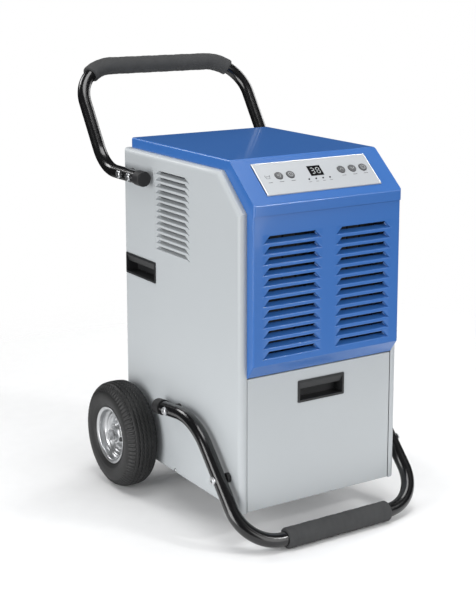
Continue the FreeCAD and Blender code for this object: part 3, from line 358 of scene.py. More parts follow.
def pressed_louvres(bank, place):
    """One patch for each louvre. From the cell's corners the sheet runs flat to the mouth, a
    trapezoid; there it rolls over a lip, a quadratic curve, and runs back and up to the blade's
    rear edge. The mouth's top edge is a slit, so only its other three edges are joined."""
    near, far, bevel, height, lip = (bank[key] for key in
                                     ("near", "far", "bevel", "height", "lip"))
    left, right, low, high = bank_box(bank)
    low -= bank["lowest"]
    high = low + bank["pitch"]
    lean = bevel / height
    side = lip * math.hypot(1.0, lean)
    flat = np.array([[left, high], [left, low], [right, low], [right, high]])
    start = np.array([[near + bevel - side, height], [near - side - lip * lean, -lip],
                      [far + side + lip * lean, -lip], [far - bevel + side, height]])
    mouth = np.array([[near + bevel, height, 0], [near, 0, 0], [far, 0, 0],
                      [far - bevel, height, 0]])
    inset = bevel * bank["rise"] / height * 1.6
    rear = np.array([[near + inset, bank["rise"], -bank["depth"]]] * 2
                    + [[far - inset, bank["rise"], -bank["depth"]]] * 2)
    flat = np.column_stack([flat, np.zeros(4)])
    start = np.column_stack([start, np.zeros(4)])
    inwards = rear - mouth
    end = mouth + lip * inwards / np.linalg.norm(inwards, axis=1, keepdims=True)
    share = np.linspace(0, 1, 6)[:, None, None]
    roll = start * (1 - share) ** 2 + mouth * 2 * share * (1 - share) + end * share ** 2
    rings = np.concatenate([flat[None], roll, rear[None]])
    above = np.stack([flat[[0, 3]], start[[0, 3]]])
    made = []
    for row in range(bank["count"]):
        lift = np.array([0.0, bank["lowest"] + row * bank["pitch"], 0.0])
        made.append(patch(place(rings + lift)))
        made.append(patch(place(above + lift)))
    return made


def inset_outline(inset, height):
    """The side panel's five corners (back from the front, above the floor), moved in."""
    slope = math.atan2(height - SLOPE_FOOT, SLOPE_RUN)
    top = inset * (1 - math.cos(slope)) / math.sin(slope)
    front = inset * (1 - math.sin(slope)) / math.cos(slope)
    return np.array([(inset, panel_low + inset), (panel_deep - inset, panel_low + inset),
                     (panel_deep - inset, height - inset), (SLOPE_RUN + top, height - inset),
                     (inset, SLOPE_FOOT - front)])


def side_panel(name, side, material):
    """A flat grid with its louvres and hand hole, whose border rolls over a quarter circle on
    the inset outlines and then runs straight in."""
    face_x = max(abs(corner.x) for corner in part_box(name))
    flange = face_x - min(abs(corner.x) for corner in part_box(name))

    def place(local):
        """From (back, up, out) to the frame."""
        return np.stack([side * (face_x + local[..., 2]), panel_front + local[..., 0],
                         local[..., 1]], -1)

    flat = inset_outline(PANEL_BEND, panel_high)
    pull_low, pull_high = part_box(name.replace("panel", "pull"))
    hole = (pull_low.y - panel_front + PULL_LAP, pull_high.y - panel_front - PULL_LAP,
            pull_low.z + PULL_LAP, pull_high.z - PULL_LAP)
    bank = bank_box(SIDE_LOUVRES)
    across = np.unique(np.concatenate([[flat[0, 0], flat[1, 0], flat[3, 0]], hole[:2], bank[:2]]))
    up = np.unique(np.concatenate([[flat[0, 1], flat[2, 1], flat[4, 1]], hole[2:],
                                   bank_breaks(SIDE_LOUVRES)]))
    corner = (flat[4, 0], flat[3, 0], flat[4, 1], flat[3, 1])
    patches = [cut_sheet(across, up, [hole, bank, corner], place)]
    patches += pressed_louvres(SIDE_LOUVRES, place)

    top_from_back = across[across >= flat[3, 0]][::-1]
    front_from_top = up[up <= flat[4, 1]][::-1]
    gusset_v = up[(up >= flat[4, 1]) & (up <= flat[3, 1])]
    gusset = [(flat[3, 0], height) for height in gusset_v[::-1]] + [tuple(flat[4])]
    gusset_points = np.array([(u, v, 0.0) for u, v in gusset])
    patches.append((place(gusset_points), [list(range(len(gusset)))]))
    border = ([(0, (u - flat[0, 0]) / (flat[1, 0] - flat[0, 0])) for u in across[:-1]]
              + [(1, (v - flat[1, 1]) / (flat[2, 1] - flat[1, 1])) for v in up[:-1]]
              + [(2, (flat[2, 0] - u) / (flat[2, 0] - flat[3, 0])) for u in top_from_back[:-1]]
              + [(3, 0.0)]
              + [(4, (flat[4, 1] - v) / (flat[4, 1] - flat[0, 1])) for v in front_from_top[:-1]])
    edge, share = (np.array(column) for column in zip(*border))
    edge = edge.astype(int)
    rings = []
    for angle in np.linspace(0, math.pi / 2, ROLL_STEPS):
        outline = inset_outline(PANEL_BEND * (1 - math.sin(angle)), panel_high)
        first, last = outline[edge], outline[(edge + 1) % 5]
        ring = first + (last - first) * share[:, None]
        drop = np.full(len(ring), -PANEL_BEND * (1 - math.cos(angle)))
        rings.append(np.column_stack([ring, drop]))
    hem = rings[-1].copy()
    hem[:, 2] = -flange
    patches.append(patch(place(np.array(rings + [hem])), around=True))
    made = piece("folded_" + name, patches, material, "cabinet",
                 sheet=SHEET, outward=(side, 0, 0), flat=True)
    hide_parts(name)


cabinet_grey = powder_coat("cabinet_grey", (0.432, 0.458, 0.474), (0.462, 0.486, 0.500), 0.38,
                           3.0, 800.0, 0.5, Coat_Weight=0.08, Coat_Roughness=0.25)
side_panel("left_side_panel", -1, cabinet_grey)
side_panel("right_side_panel", 1, cabinet_grey)

# ---------------------------------------------------------------- rear panel and floor
# The back is a flat sheet with nine wide louvres beside the compressor and a ledge under the
# lid. The floor, the shelf over the tank bay and the axles are bare zinc-coated steel.

REAR_LOUVRES = {"near": -0.075, "far": 0.075, "bevel": 0.0125, "height": 0.0080,
                "pitch": 0.016, "lowest": 0.110, "count": 9, "depth": 0.0085, "rise": 0.0042,
                "lip": 0.0011, "margin": 0.003}


def rear_panel(material):
    """A flat grid with louvres, and a ledge turned forwards along its top."""
    low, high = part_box("rear_panel")

    def place(local):
        """From (left, up, out) to the frame."""
        return np.stack([-local[..., 0], high.y + local[..., 2], local[..., 1]], -1)

    bank = bank_box(REAR_LOUVRES)
    across = np.array([low.x, bank[0], bank[1], high.x])
    up = np.unique(np.concatenate([[low.z, high.z - SHEET], bank_breaks(REAR_LOUVRES)]))
    turn = np.linspace(0, math.pi / 2, 5)
    ledge = [(across * 1.0, high.z - SHEET + SHEET * math.sin(a), -SHEET * (1 - math.cos(a)))
             for a in turn] + [(across * 1.0, high.z, -(high.y - low.y))]
    ledge = np.array([np.column_stack([u, np.full(4, v), np.full(4, w)]) for u, v, w in ledge])
    patches = [cut_sheet(across, up, [bank], place), patch(place(ledge))]
    patches += pressed_louvres(REAR_LOUVRES, place)
    made = piece("folded_rear_panel", patches, material, "cabinet",
                 sheet=SHEET, outward=(0, 1, 0), flat=True)
    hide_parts("rear_panel")


def bare_steel():
    """Zinc-coated sheet: broad spangle in roughness and a little in colour."""
    finish = Finish("bare_steel", (0.5, 0.51, 0.52), 0.42, Metallic=0.9)
    finish.weather(finish.cells(90.0), (0.44, 0.45, 0.46), (0.58, 0.59, 0.60), 0.34, 0.2)
    return finish.bump(finish.noise(400.0), 0.00003, 0.4)


rear_panel(cabinet_grey)
inner_steel = bare_steel()
paint(inner_steel, "base_tray", "mid_shelf", "stub_axles")

# ---------------------------------------------------------------- lid
# The lid is one blue sheet pressed over the cabinet's top, with its corners rounded, a sloping
# face for the controls and a short lip in front. Its coat is smoother and glossier.

cover_blue = powder_coat("cover_blue", (0.032, 0.132, 0.415), (0.041, 0.155, 0.455), 0.26, 2.2,
                         600.0, 0.4, Coat_Weight=0.35, Coat_Roughness=0.06)
paint(cover_blue, "top_cover")

# ---------------------------------------------------------------- front grille
# The grille is a second blue sheet: two columns of twelve pressed louvres, edges rolled back
# on both sides, and a bevel that runs back to the tank's face at its foot.

GRILLE_LOUVRES = {"near": 0.016, "far": 0.138, "bevel": 0.013, "height": 0.013,
                  "pitch": 0.0186, "lowest": 0.3405, "count": 12, "depth": 0.0125,
                  "rise": 0.0052, "lip": 0.0014, "margin": 0.004}
GRILLE_FOLD = 0.3293
GRILLE_ROLL = 0.003


def front_grille(material):
    """A grid whose rows follow the side view (bevel, then upright) and whose outer columns
    drop back round a quarter circle to the grille's depth."""
    low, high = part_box("front_grille")
    lid_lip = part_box("top_cover")[0].z
    deep = high.y - low.y
    left = dict(GRILLE_LOUVRES, near=-GRILLE_LOUVRES["far"], far=-GRILLE_LOUVRES["near"])

    def place(local):
        """From (right, up, out) to the frame."""
        return np.stack([local[..., 0], low.y - local[..., 2], local[..., 1]], -1)

    turn = np.linspace(math.pi / 2, 0, 6)
    roll = high.x - GRILLE_ROLL + GRILLE_ROLL * np.sin(turn)
    drop = GRILLE_ROLL * (1 - np.cos(turn))
    inner = np.concatenate([bank_box(left)[:2], bank_box(GRILLE_LOUVRES)[:2]])
    across = np.concatenate([[-high.x], -roll, inner, roll[::-1], [high.x]])
    fall = np.concatenate([[deep], drop, np.zeros(4), drop[::-1], [deep]])
    up = np.unique(np.concatenate([[low.z, GRILLE_FOLD, lid_lip], bank_breaks(GRILLE_LOUVRES)]))
    set_back = np.interp(up, [low.z, GRILLE_FOLD], [deep, 0.0])
    depth = np.minimum(set_back[:, None] + fall, deep)
    openings = [bank_box(left), bank_box(GRILLE_LOUVRES)]
    patches = [cut_sheet(across, up, openings, place, -depth)]
    patches += pressed_louvres(GRILLE_LOUVRES, place) + pressed_louvres(left, place)
    made = piece("pressed_front_grille", patches, material, "cabinet",
                 sheet=SHEET, outward=(0, -1, 0), crease=28.0, flat=True)
    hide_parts("front_grille")


front_grille(cover_blue)

# ---------------------------------------------------------------- tank front
# The tank's face is a folded steel sheet in the cabinet's grey, screwed to the bucket behind
# it. The bucket is moulded in translucent grey plastic and holds the float on its pin.


def moulded(name, colour, darker, roughness, grain=900.0, depth=0.00005, **constants):
    """Moulded plastic or rubber: a fine spark-eroded grain and slightly uneven colour."""
    finish = Finish(name, colour, roughness, **constants)
    cloud = finish.noise(14.0, 3.0)
    finish.mottle(cloud, darker, colour)
    texture = finish.noise(grain, 3.0)
    finish.set("Roughness", roughness - 0.05 + texture * 0.14)
    return finish.bump(texture, depth, 0.6)


paint(cabinet_grey, "tank_face")
paint(moulded("tank_plastic", (0.56, 0.58, 0.60), (0.50, 0.52, 0.54), 0.45), "tank_bucket")
paint(moulded("float_foam", (0.74, 0.73, 0.70), (0.66, 0.65, 0.62), 0.8, 500.0, 0.0002),
      "float_arm")
pin_steel = Finish("pin_steel", (0.62, 0.62, 0.63), 0.28, Metallic=1.0)
pin_steel.set("Roughness", 0.2 + pin_steel.noise(300.0, 2.0, (1.0, 8.0, 8.0)) * 0.2)
paint(pin_steel.material, "float_pin", "fan_shaft", "left_bearings", "right_bearings")

# ---------------------------------------------------------------- control panel
# A silver film on a thin plate lies on the lid's slope, in a raised border. Five flat buttons
# stand in it, with a small window for two digits and four indicator lights. Its printing is
# plain signs: a bucket, a fan, a clock, two arrows, a switch sign and short rules.

SLOPE_ANGLE = math.radians(40.45)
LID_FOLD = 0.0588               # from the tank's face back to the fold above the controls
FASCIA_HALF = 0.123
FASCIA_TOP = 0.0156             # measured down the slope, as all "down" values
FASCIA_LOW = 0.088
FASCIA_THICK = 0.0016
BUTTON_X = (-0.0795, -0.055, 0.055, 0.0795, 0.1035)
BUTTON_DOWN = 0.047
BUTTON_OUT = 0.0034
LIGHT_X = (-0.0225, -0.0075, 0.0075, 0.0225)
LIGHT_DOWN = 0.0615
WINDOW_OUT = 0.0021
INK = 0.00006                   # thickness of printing
BORDER_SECTION = ((0.0000, 0.0000), (0.0000, 0.0017), (0.0004, 0.0023), (0.0010, 0.0024),
                  (0.0016, 0.0021), (0.0020, 0.0015))    # inset, out of the slope
BORDER_CORNER = 0.003
fold_y = panel_front + LID_FOLD
fold_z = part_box("top_cover")[1].z


def on_slope(points):
    """From (across, down the slope, out of it) to the frame."""
    x, down, out = points[..., 0], points[..., 1], points[..., 2]
    return np.stack([x, fold_y - down * math.cos(SLOPE_ANGLE) - out * math.sin(SLOPE_ANGLE),
                     fold_z - down * math.sin(SLOPE_ANGLE) + out * math.cos(SLOPE_ANGLE)], -1)


def rounded_outline(half_across, half_up, radius, steps=6):
    """A rectangle about zero whose corners are quarter circles, as points in order."""
    turn = np.linspace(0, math.pi / 2, steps)
    quarter = np.stack([np.cos(turn), np.sin(turn)], -1) * radius
    corners = []
    for quarter_turns, sign in enumerate([(1, 1), (-1, 1), (-1, -1), (1, -1)]):
        cos, sin = [(1, 0), (0, 1), (-1, 0), (0, -1)][quarter_turns]
        spun = quarter @ np.array([[cos, sin], [-sin, cos]])
        centre = np.array([sign[0] * (half_across - radius), sign[1] * (half_up - radius)])
        corners.append(centre + spun)
    return np.concatenate(corners)


def stroke(points, width, low, closed=False):
    """A printed line: a flat band of the given width along (across, down) points, with its
    sides square to the line's direction at each point."""
    line = np.array(points, float)
    if closed:
        along = np.roll(line, -1, 0) - np.roll(line, 1, 0)
        line = np.vstack([line, line[:1]])
        along = np.vstack([along, along[:1]])
    else:
        along = np.gradient(line, axis=0)
    along /= np.linalg.norm(along, axis=1, keepdims=True)
    aside = np.stack([-along[:, 1], along[:, 0]], -1) * width / 2
    left, right = line - aside, line + aside
    bottom = np.full((len(line), 1), low)
    top = bottom + INK
    rings = np.stack([np.hstack([left, bottom]), np.hstack([left, top]),
                      np.hstack([right, top]), np.hstack([right, bottom])], 1)
    return patch(on_slope(rings), around=True, capped=not closed)


def arc(centre, radius, start, stop, count=20):
    """Points of an arc, its angles in degrees from across towards down."""
    turn = np.radians(np.linspace(start, stop, count))
    return np.stack([centre[0] + radius * np.cos(turn), centre[1] + radius * np.sin(turn)], -1)


def silver_film():
    """Silver printed film: nearly white, satin, with a very fine sparkle."""
    finish = Finish("silver_film", (0.47, 0.49, 0.51), 0.34, Metallic=0.1)
    finish.weather(finish.noise(2500.0), (0.44, 0.46, 0.48), (0.50, 0.52, 0.54), 0.28, 0.16)
    return finish.material


silver = silver_film()
paint(silver, "control_fascia")
middle_down = (FASCIA_TOP + FASCIA_LOW) / 2
half_down = (FASCIA_LOW - FASCIA_TOP) / 2
border = []
for inset, out in BORDER_SECTION:
    ring = rounded_outline(FASCIA_HALF - inset, half_down - inset, BORDER_CORNER - inset)
    border.append(np.column_stack([ring[:, 0], middle_down + ring[:, 1],
                                   np.full(len(ring), out)]))
bright_film = Finish("bright_film", (0.72, 0.73, 0.74), 0.22, Metallic=0.35)
bright_film.set("Roughness", 0.16 + bright_film.noise(1500.0) * 0.12)
piece("fascia_border", [patch(on_slope(np.array(border)), around=True)], bright_film.material,
      "cabinet", outward=(0, -1, 1))

ink = moulded("printing_ink", (0.05, 0.05, 0.055), (0.035, 0.035, 0.04), 0.5, 2000.0, 0.00001)
BUCKET_X = -0.103
BUCKET = ((-0.0052, -0.0035), (-0.0034, 0.0042), (0.0034, 0.0042), (0.0052, -0.0035))
BUCKET_LINE = 0.0009
WAVE_HALF = 0.0034
WAVE_HIGH = 0.0006
WAVE_DOWN = BUTTON_DOWN - 0.0004
WAVE_LINE = 0.0007
WAVE_TURNS = 2700               # radians to the metre
RULES = ((BUCKET_X,) + BUTTON_X, BUTTON_DOWN + 0.0135, 0.0045, 0.0010)
LIGHT_RULES = (LIGHT_X, LIGHT_DOWN + 0.0062, 0.0030, 0.0008)
wave_x = np.linspace(-WAVE_HALF, WAVE_HALF, 16)
wave = np.stack([BUCKET_X + wave_x, WAVE_DOWN + WAVE_HIGH * np.sin(wave_x * WAVE_TURNS)], -1)
printing = [stroke(np.array(BUCKET) + (BUCKET_X, BUTTON_DOWN), BUCKET_LINE, FASCIA_THICK),
            stroke(wave, WAVE_LINE, FASCIA_THICK)]
for places, down, half, width in (RULES, LIGHT_RULES):
    printing += [stroke([(x - half, down), (x + half, down)], width, FASCIA_THICK)
                 for x in places]
piece("fascia_printing", printing, ink, "cabinet")

button_grey = moulded("button_plastic", (0.105, 0.108, 0.112), (0.085, 0.088, 0.092), 0.42)
pale_ink = moulded("pale_ink", (0.50, 0.51, 0.52), (0.44, 0.45, 0.46), 0.5, 2000.0, 0.00001)
SIGN = 0.0042
SIGN_LINE = 0.0008
BLADE = 0.0019                  # radius of a fan blade's arc
HANDS = ((0, -0.0026), (0, 0), (BLADE, 0.0010))
ARROW = ((-0.0036, -0.0016), (0, 0.0024), (0.0036, -0.0016))
ARROW_LINE = 0.0010
SWITCH = ((0, -0.0050), (0, -0.0008))
blades = [(arc((BLADE * math.cos(a), BLADE * math.sin(a)), BLADE, math.degrees(a) - 150,
               math.degrees(a) + 30), SIGN_LINE, False) for a in np.radians([90, 210, 330])]
clock = [(arc((0, 0), SIGN, 0, 345, 24), SIGN_LINE, True), (HANDS, SIGN_LINE, False)]
up_arrow = [(np.array(ARROW) * (1, -1), ARROW_LINE, False)]
down_arrow = [(np.array(ARROW), ARROW_LINE, False)]
switch = [(arc((0, 0), SIGN, -55, 235, 24), SIGN_LINE, False), (SWITCH, SIGN_LINE, False)]
for number, (x, sign) in enumerate(zip(BUTTON_X, (blades, clock, up_arrow, down_arrow,
                                                  switch)), 1):
    strokes = [stroke(np.array(line) + (x, BUTTON_DOWN), width, BUTTON_OUT, closed)
               for line, width, closed in sign]
    piece("button_sign_%d" % number, strokes, pale_ink, "button_%d_cap" % number)
    paint(button_grey, "button_%d" % number)


def smoked_glass():
    """Smoked acrylic with a hard polish."""
    finish = Finish("smoked_window", (0.012, 0.012, 0.013), 0.08, Coat_Weight=0.6,
                    Coat_Roughness=0.03)
    finish.set("Roughness", 0.06 + finish.noise(200.0) * 0.06)
    return finish.material


paint(smoked_glass(), "display_window")
DIGIT_HALF = 0.0032
DIGIT_TALL = 0.0062
DIGIT_X = 0.0058
DIGIT_DOWN = 0.0435
SEGMENT = 0.0015
SEGMENT_GAP = 0.14              # share of a segment's length
SEGMENT_ENDS = {"a": ((-1, -2), (1, -2)), "b": ((1, -2), (1, 0)), "c": ((1, 0), (1, 2)),
                "d": ((-1, 2), (1, 2)), "e": ((-1, 0), (-1, 2)), "f": ((-1, -2), (-1, 0)),
                "g": ((-1, 0), (1, 0))}
digit_patches = []
for lit, x in (("abcdg", -DIGIT_X), ("abcdefg", DIGIT_X)):
    for segment in lit:
        first, last = (np.array([x + u * DIGIT_HALF, DIGIT_DOWN + v * DIGIT_TALL / 2])
                       for u, v in SEGMENT_ENDS[segment])
        gap = (last - first) * SEGMENT_GAP
        digit_patches.append(stroke([first + gap, last - gap], SEGMENT, WINDOW_OUT))
digits = Finish("digit_light", (0.36, 0.38, 0.38), 0.4, Emission_Strength=0.08)
digits.mottle(digits.noise(900.0), (0.32, 0.34, 0.34), (0.40, 0.42, 0.42))
digits.set("Emission Color", (0.7, 0.75, 0.75, 1.0))
piece("display_digits", digit_patches, digits.material, "cabinet")
lens = moulded("light_lens", (0.03, 0.03, 0.03), (0.02, 0.02, 0.02), 0.2, 400.0, 0.00002)
paint(lens, "indicator_lights")
board = moulded("circuit_board", (0.02, 0.16, 0.07), (0.015, 0.11, 0.05), 0.4, 300.0, 0.0001)
paint(board, "control_board")

# ---------------------------------------------------------------- hand pulls
# Three moulded cups of black grained plastic are clipped into the sheet: one in each side and
# one in the tank's face. A hood covers the top third, with a rounded lower edge.

black_grain = moulded("black_grain", (0.020, 0.021, 0.022), (0.014, 0.015, 0.016), 0.4, 1400.0)
paint(black_grain, "left_side_pull", "right_side_pull", "tank_pull")
HOOD_BEAD = 0.0009              # radius of the hood's lower edge
HOOD_DEEP = 0.0049              # from the flange's face to the middle of the hood's edge
HOOD_UP = 0.0045                # from the cup's middle
HOOD_SHORT = 0.0035


def full_turn(steps):
    """Angles spaced evenly round a circle."""
    return np.linspace(0, 2 * math.pi, steps, endpoint=False)


def bead(start, stop, radius, turns=12, steps=7):
    """A capsule: its radius follows half a circle over the ends and is even between them."""
    start, stop = np.array(start, float), np.array(stop, float)
    along = (stop - start) / np.linalg.norm(stop - start)
    aside = np.cross(along, [0.0, 0.0, 1.0])
    upward = np.cross(aside, along)
    cap = np.linspace(0, math.pi / 2, steps)
    reach = np.concatenate([-np.cos(cap), np.cos(cap)[::-1]]) * radius
    size = np.concatenate([np.sin(cap), np.sin(cap)[::-1]]) * radius
    size = np.maximum(size, radius * 0.02)
    base = np.concatenate([np.repeat(start[None], steps, 0), np.repeat(stop[None], steps, 0)])
    turn = full_turn(turns)
    ring = np.cos(turn)[:, None] * aside + np.sin(turn)[:, None] * upward
    points = (base + reach[:, None] * along)[:, None] + size[:, None, None] * ring[None]
    return patch(points, around=True, capped=True)


for name, body in (("left_side_pull", "cabinet"), ("right_side_pull", "cabinet"),
                   ("tank_pull", "tank")):
    low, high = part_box(name)
    hood_z = (low.z + high.z) / 2 + HOOD_UP
    if name == "tank_pull":
        y = low.y + HOOD_DEEP
        ends = ((low.x + HOOD_SHORT, y, hood_z), (high.x - HOOD_SHORT, y, hood_z))
    else:
        x = low.x + HOOD_DEEP if name.startswith("left") else high.x - HOOD_DEEP
        ends = ((x, low.y + HOOD_SHORT, hood_z), (x, high.y - HOOD_SHORT, hood_z))
    piece(name + "_bead", [bead(*ends, HOOD_BEAD)], black_grain, body)

# ---------------------------------------------------------------- tube frame
# The push handle and the front bar are bent from one inch steel tube with a gloss black coat.
# Rubber caps close their ends, and button-head bolts hold them to the panels over spacers.


def gloss_black():
    """Black gloss coat: faint orange peel and a little dust."""
    finish = Finish("gloss_black", (0.004, 0.004, 0.005), 0.22, Coat_Weight=0.3,
                    Coat_Roughness=0.04)
    peel = finish.noise(90.0)
    finish.set("Roughness", 0.18 + peel * 0.1)
    dust = finish.noise(60.0, 4.0)
    finish.mottle(dust, (0.003, 0.003, 0.0035), (0.006, 0.006, 0.0065))
    return finish.bump(peel, 0.00004, 0.2)


def bright_zinc():
    """Zinc plating: clear metal with faint blotches."""
    finish = Finish("bright_zinc", (0.55, 0.56, 0.57), 0.3, Metallic=0.92)
    finish.weather(finish.noise(60.0, 3.0), (0.50, 0.51, 0.52), (0.60, 0.61, 0.62), 0.26, 0.1)
    return finish.bump(finish.noise(500.0), 0.00001, 0.15)


def unit(line):
    """A direction of length one."""
    return line / np.linalg.norm(line)


def bent(corners, radii, step=0.006):
    """A tube's centre line: straight runs joined by arcs, each arc touching both of its runs
    at the radius times the tangent of half the turn before its corner."""
    corners = np.array(corners, float)
    line = [corners[:1]]
    for before, corner, after, radius in zip(corners, corners[1:], corners[2:], radii):
        coming, leaving = unit(corner - before), unit(after - corner)
        turn = math.acos(coming @ leaving)
        start = corner - coming * radius * math.tan(turn / 2)
        centre = corner + unit(leaving - coming) * radius / math.cos(turn / 2)
        count = max(int(np.linalg.norm(start - line[-1][-1]) / step), 2)
        line.append(np.linspace(line[-1][-1], start, count, endpoint=False)[1:])
        angle = np.linspace(0, turn, max(int(radius * turn / 0.004), 4))[:, None]
        line.append(centre + (start - centre) * np.cos(angle) + coming * radius * np.sin(angle))
    count = int(np.linalg.norm(corners[-1] - line[-1][-1]) / step)
    line.append(np.linspace(line[-1][-1], corners[-1], count + 2)[1:])
    return np.concatenate(line)


def tube(line, across_bend, radius, steps=32):
    """A circle about every point of a line, square to it, with closed ends."""
    along = np.gradient(line, axis=0)
    along /= np.linalg.norm(along, axis=1, keepdims=True)
    aside = np.cross(along, across_bend)
    aside /= np.linalg.norm(aside, axis=1, keepdims=True)
    upward = np.cross(aside, along)
    turn = full_turn(steps)[None, :, None]
    ring = np.cos(turn) * aside[:, None] + np.sin(turn) * upward[:, None]
    return patch(line[:, None] + radius * ring, around=True, capped=True)


TUBE_R = 0.0127
TUBE_X = 0.194
HANDLE_SIDE = ((0.3030, 0.6180), (0.4616, 0.6180), (0.5900, 0.8075))    # back from the front
HANDLE_RADII = (0.0857, 0.0814, 0.0814, 0.0857)
BAR_SIDE = ((0.2551, 0.1887), (0.1200, 0.2040), (-0.0549, 0.0190))
BAR_RADII = (0.1187, 0.0748, 0.0748, 0.1187)
tube_black = gloss_black()
for name, side, radii in (("handle_tube", HANDLE_SIDE, HANDLE_RADII),
                          ("bar_tube", BAR_SIDE, BAR_RADII)):
    half = [(-TUBE_X, panel_front + y, z) for y, z in side]
    corners = half + [(-x, y, z) for x, y, z in reversed(half)]
    reach = np.subtract(side[2], side[1])
    bend_plane = unit(np.array([0.0, -reach[1], reach[0]]))
    made = piece(name + "_bent", [tube(bent(corners, radii), bend_plane, TUBE_R)], tube_black,
                 "cabinet", crease=60.0)
    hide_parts(name)
cap_rubber = moulded("cap_rubber", (0.016, 0.016, 0.017), (0.011, 0.011, 0.012), 0.55, 1100.0)
zinc = bright_zinc()
paint(cap_rubber, "tube_end_caps", "frame_spacers")
paint(zinc, "frame_bolts", "axle_hardware", "panel_screws", "compressor_bolts")

# ---------------------------------------------------------------- foam grips
# Two sleeves of closed-cell foam are pushed over the tube: a long one over the crossbar and
# the start of both bends, and a straight one on the front bar. Their cut ends are rounded.

HANDLE_FOAM = 0.018
HANDLE_CORNER = HANDLE_RADII[1]
HANDLE_FOAM_TURN = math.radians(40)
BAR_FOAM = 0.019
BAR_HALF = 0.113
FOAM_SKIN = 0.0004              # room left under the widest swell
FOAM_BORE = TUBE_R + 0.0002
SWELLS = ((0.00022, 0.043), (0.00014, 0.0131))           # height, length
handle_leg = unit(np.array([0.0, HANDLE_SIDE[1][0] - HANDLE_SIDE[2][0],
                            HANDLE_SIDE[1][1] - HANDLE_SIDE[2][1]]))
handle_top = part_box("handle_grip")[1] - Vector((0.0, HANDLE_FOAM, HANDLE_FOAM))


def grip_foam():
    """Closed-cell foam: fine pores, a mottled skin and long shallow streaks."""
    finish = Finish("grip_foam", (0.040, 0.041, 0.042), 0.82)
    mottle = finish.noise(45.0, 4.0)
    finish.mottle(mottle, (0.032, 0.033, 0.034), (0.050, 0.051, 0.052))
    pores = finish.cells(1500.0)
    streaks = finish.noise(160.0, 3.0, (0.15, 1.0, 1.0))
    finish.set("Roughness", 0.72 + pores * 0.2)
    return finish.bump(pores * 0.5 + streaks * 0.5, 0.0003, 0.5)


def sleeve(centres, across_bend, radius, inner, steps=40, edge=0.0035):
    """A sleeve about a line in one plane. Its section is a circle whose radius swells by a
    long low wave, and falls over a quarter circle at both ends to the tube."""
    along = np.gradient(centres, axis=0)
    run = np.concatenate([[0.0], np.cumsum(np.linalg.norm(np.diff(centres, axis=0), axis=1))])
    along /= np.linalg.norm(along, axis=1, keepdims=True)
    aside = np.cross(across_bend, along)
    to_end = np.minimum(run, run[-1] - run)
    rounding = np.clip(1 - to_end / edge, 0, 1)
    fall = edge * (1 - np.sqrt(np.clip(1 - rounding ** 2, 0, 1)))
    swell = sum(high * np.sin(run * 2 * math.pi / long) for high, long in SWELLS)
    size = radius - FOAM_SKIN - fall + swell
    size = np.concatenate([[inner], size, [inner]])
    middle = np.vstack([centres[:1], centres, centres[-1:]])
    aside = np.vstack([aside[:1], aside, aside[-1:]])
    turn = full_turn(steps)
    ring = (np.cos(turn)[:, None] * aside[:, None]
            + np.sin(turn)[:, None] * np.array(across_bend))
    return patch(middle[:, None] + size[:, None, None] * ring, around=True)


def handle_line(count=150):
    """The crossbar and both bends as far as the foam goes, spaced evenly along the tube."""
    straight = TUBE_X - HANDLE_CORNER
    bend = HANDLE_CORNER * HANDLE_FOAM_TURN
    end_step = np.array([0.0, 0.0006, 0.0014, 0.0024])
    run = np.linspace(-straight - bend, straight + bend, count)
    run = np.unique(np.concatenate([run, run[0] + end_step, run[-1] - end_step]))
    past = np.clip(np.abs(run) - straight, 0, None) / HANDLE_CORNER
    x = np.sign(run) * (np.minimum(np.abs(run), straight) + HANDLE_CORNER * np.sin(past))
    down = HANDLE_CORNER * (1 - np.cos(past))
    return np.outer(x, (1, 0, 0)) + (0, handle_top.y, handle_top.z) + np.outer(down, handle_leg)


foam = grip_foam()
plane = np.cross([1.0, 0.0, 0.0], handle_leg)
handle_sleeve = piece("handle_foam", [sleeve(handle_line(), plane, HANDLE_FOAM, FOAM_BORE)],
                      foam, "cabinet", crease=60.0)
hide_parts("handle_grip")

bar_low, bar_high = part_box("bar_grip")
bar_run = np.linspace(-BAR_HALF, BAR_HALF, 90)
end_step = np.array([0.0006, 0.0014])
bar_run = np.unique(np.concatenate([bar_run, -BAR_HALF + end_step, BAR_HALF - end_step]))
bar_line = np.outer(bar_run, (1, 0, 0)) + (0, (bar_low.y + bar_high.y) / 2,
                                           (bar_low.z + bar_high.z) / 2)
bar_sleeve = piece("bar_foam", [sleeve(bar_line, (0.0, 0.0, 1.0), BAR_FOAM, FOAM_BORE)],
                   foam, "cabinet", crease=60.0)
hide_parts("bar_grip")

# ---------------------------------------------------------------- wheels
# Pneumatic tyres on pressed steel rims with bright zinc plating. The tread is moulded with
# wavy grooves between ribs and short notches on both shoulders. The disc is pressed in five
# lobes and welded to the rim's well and to the hub, which holds two ball races.

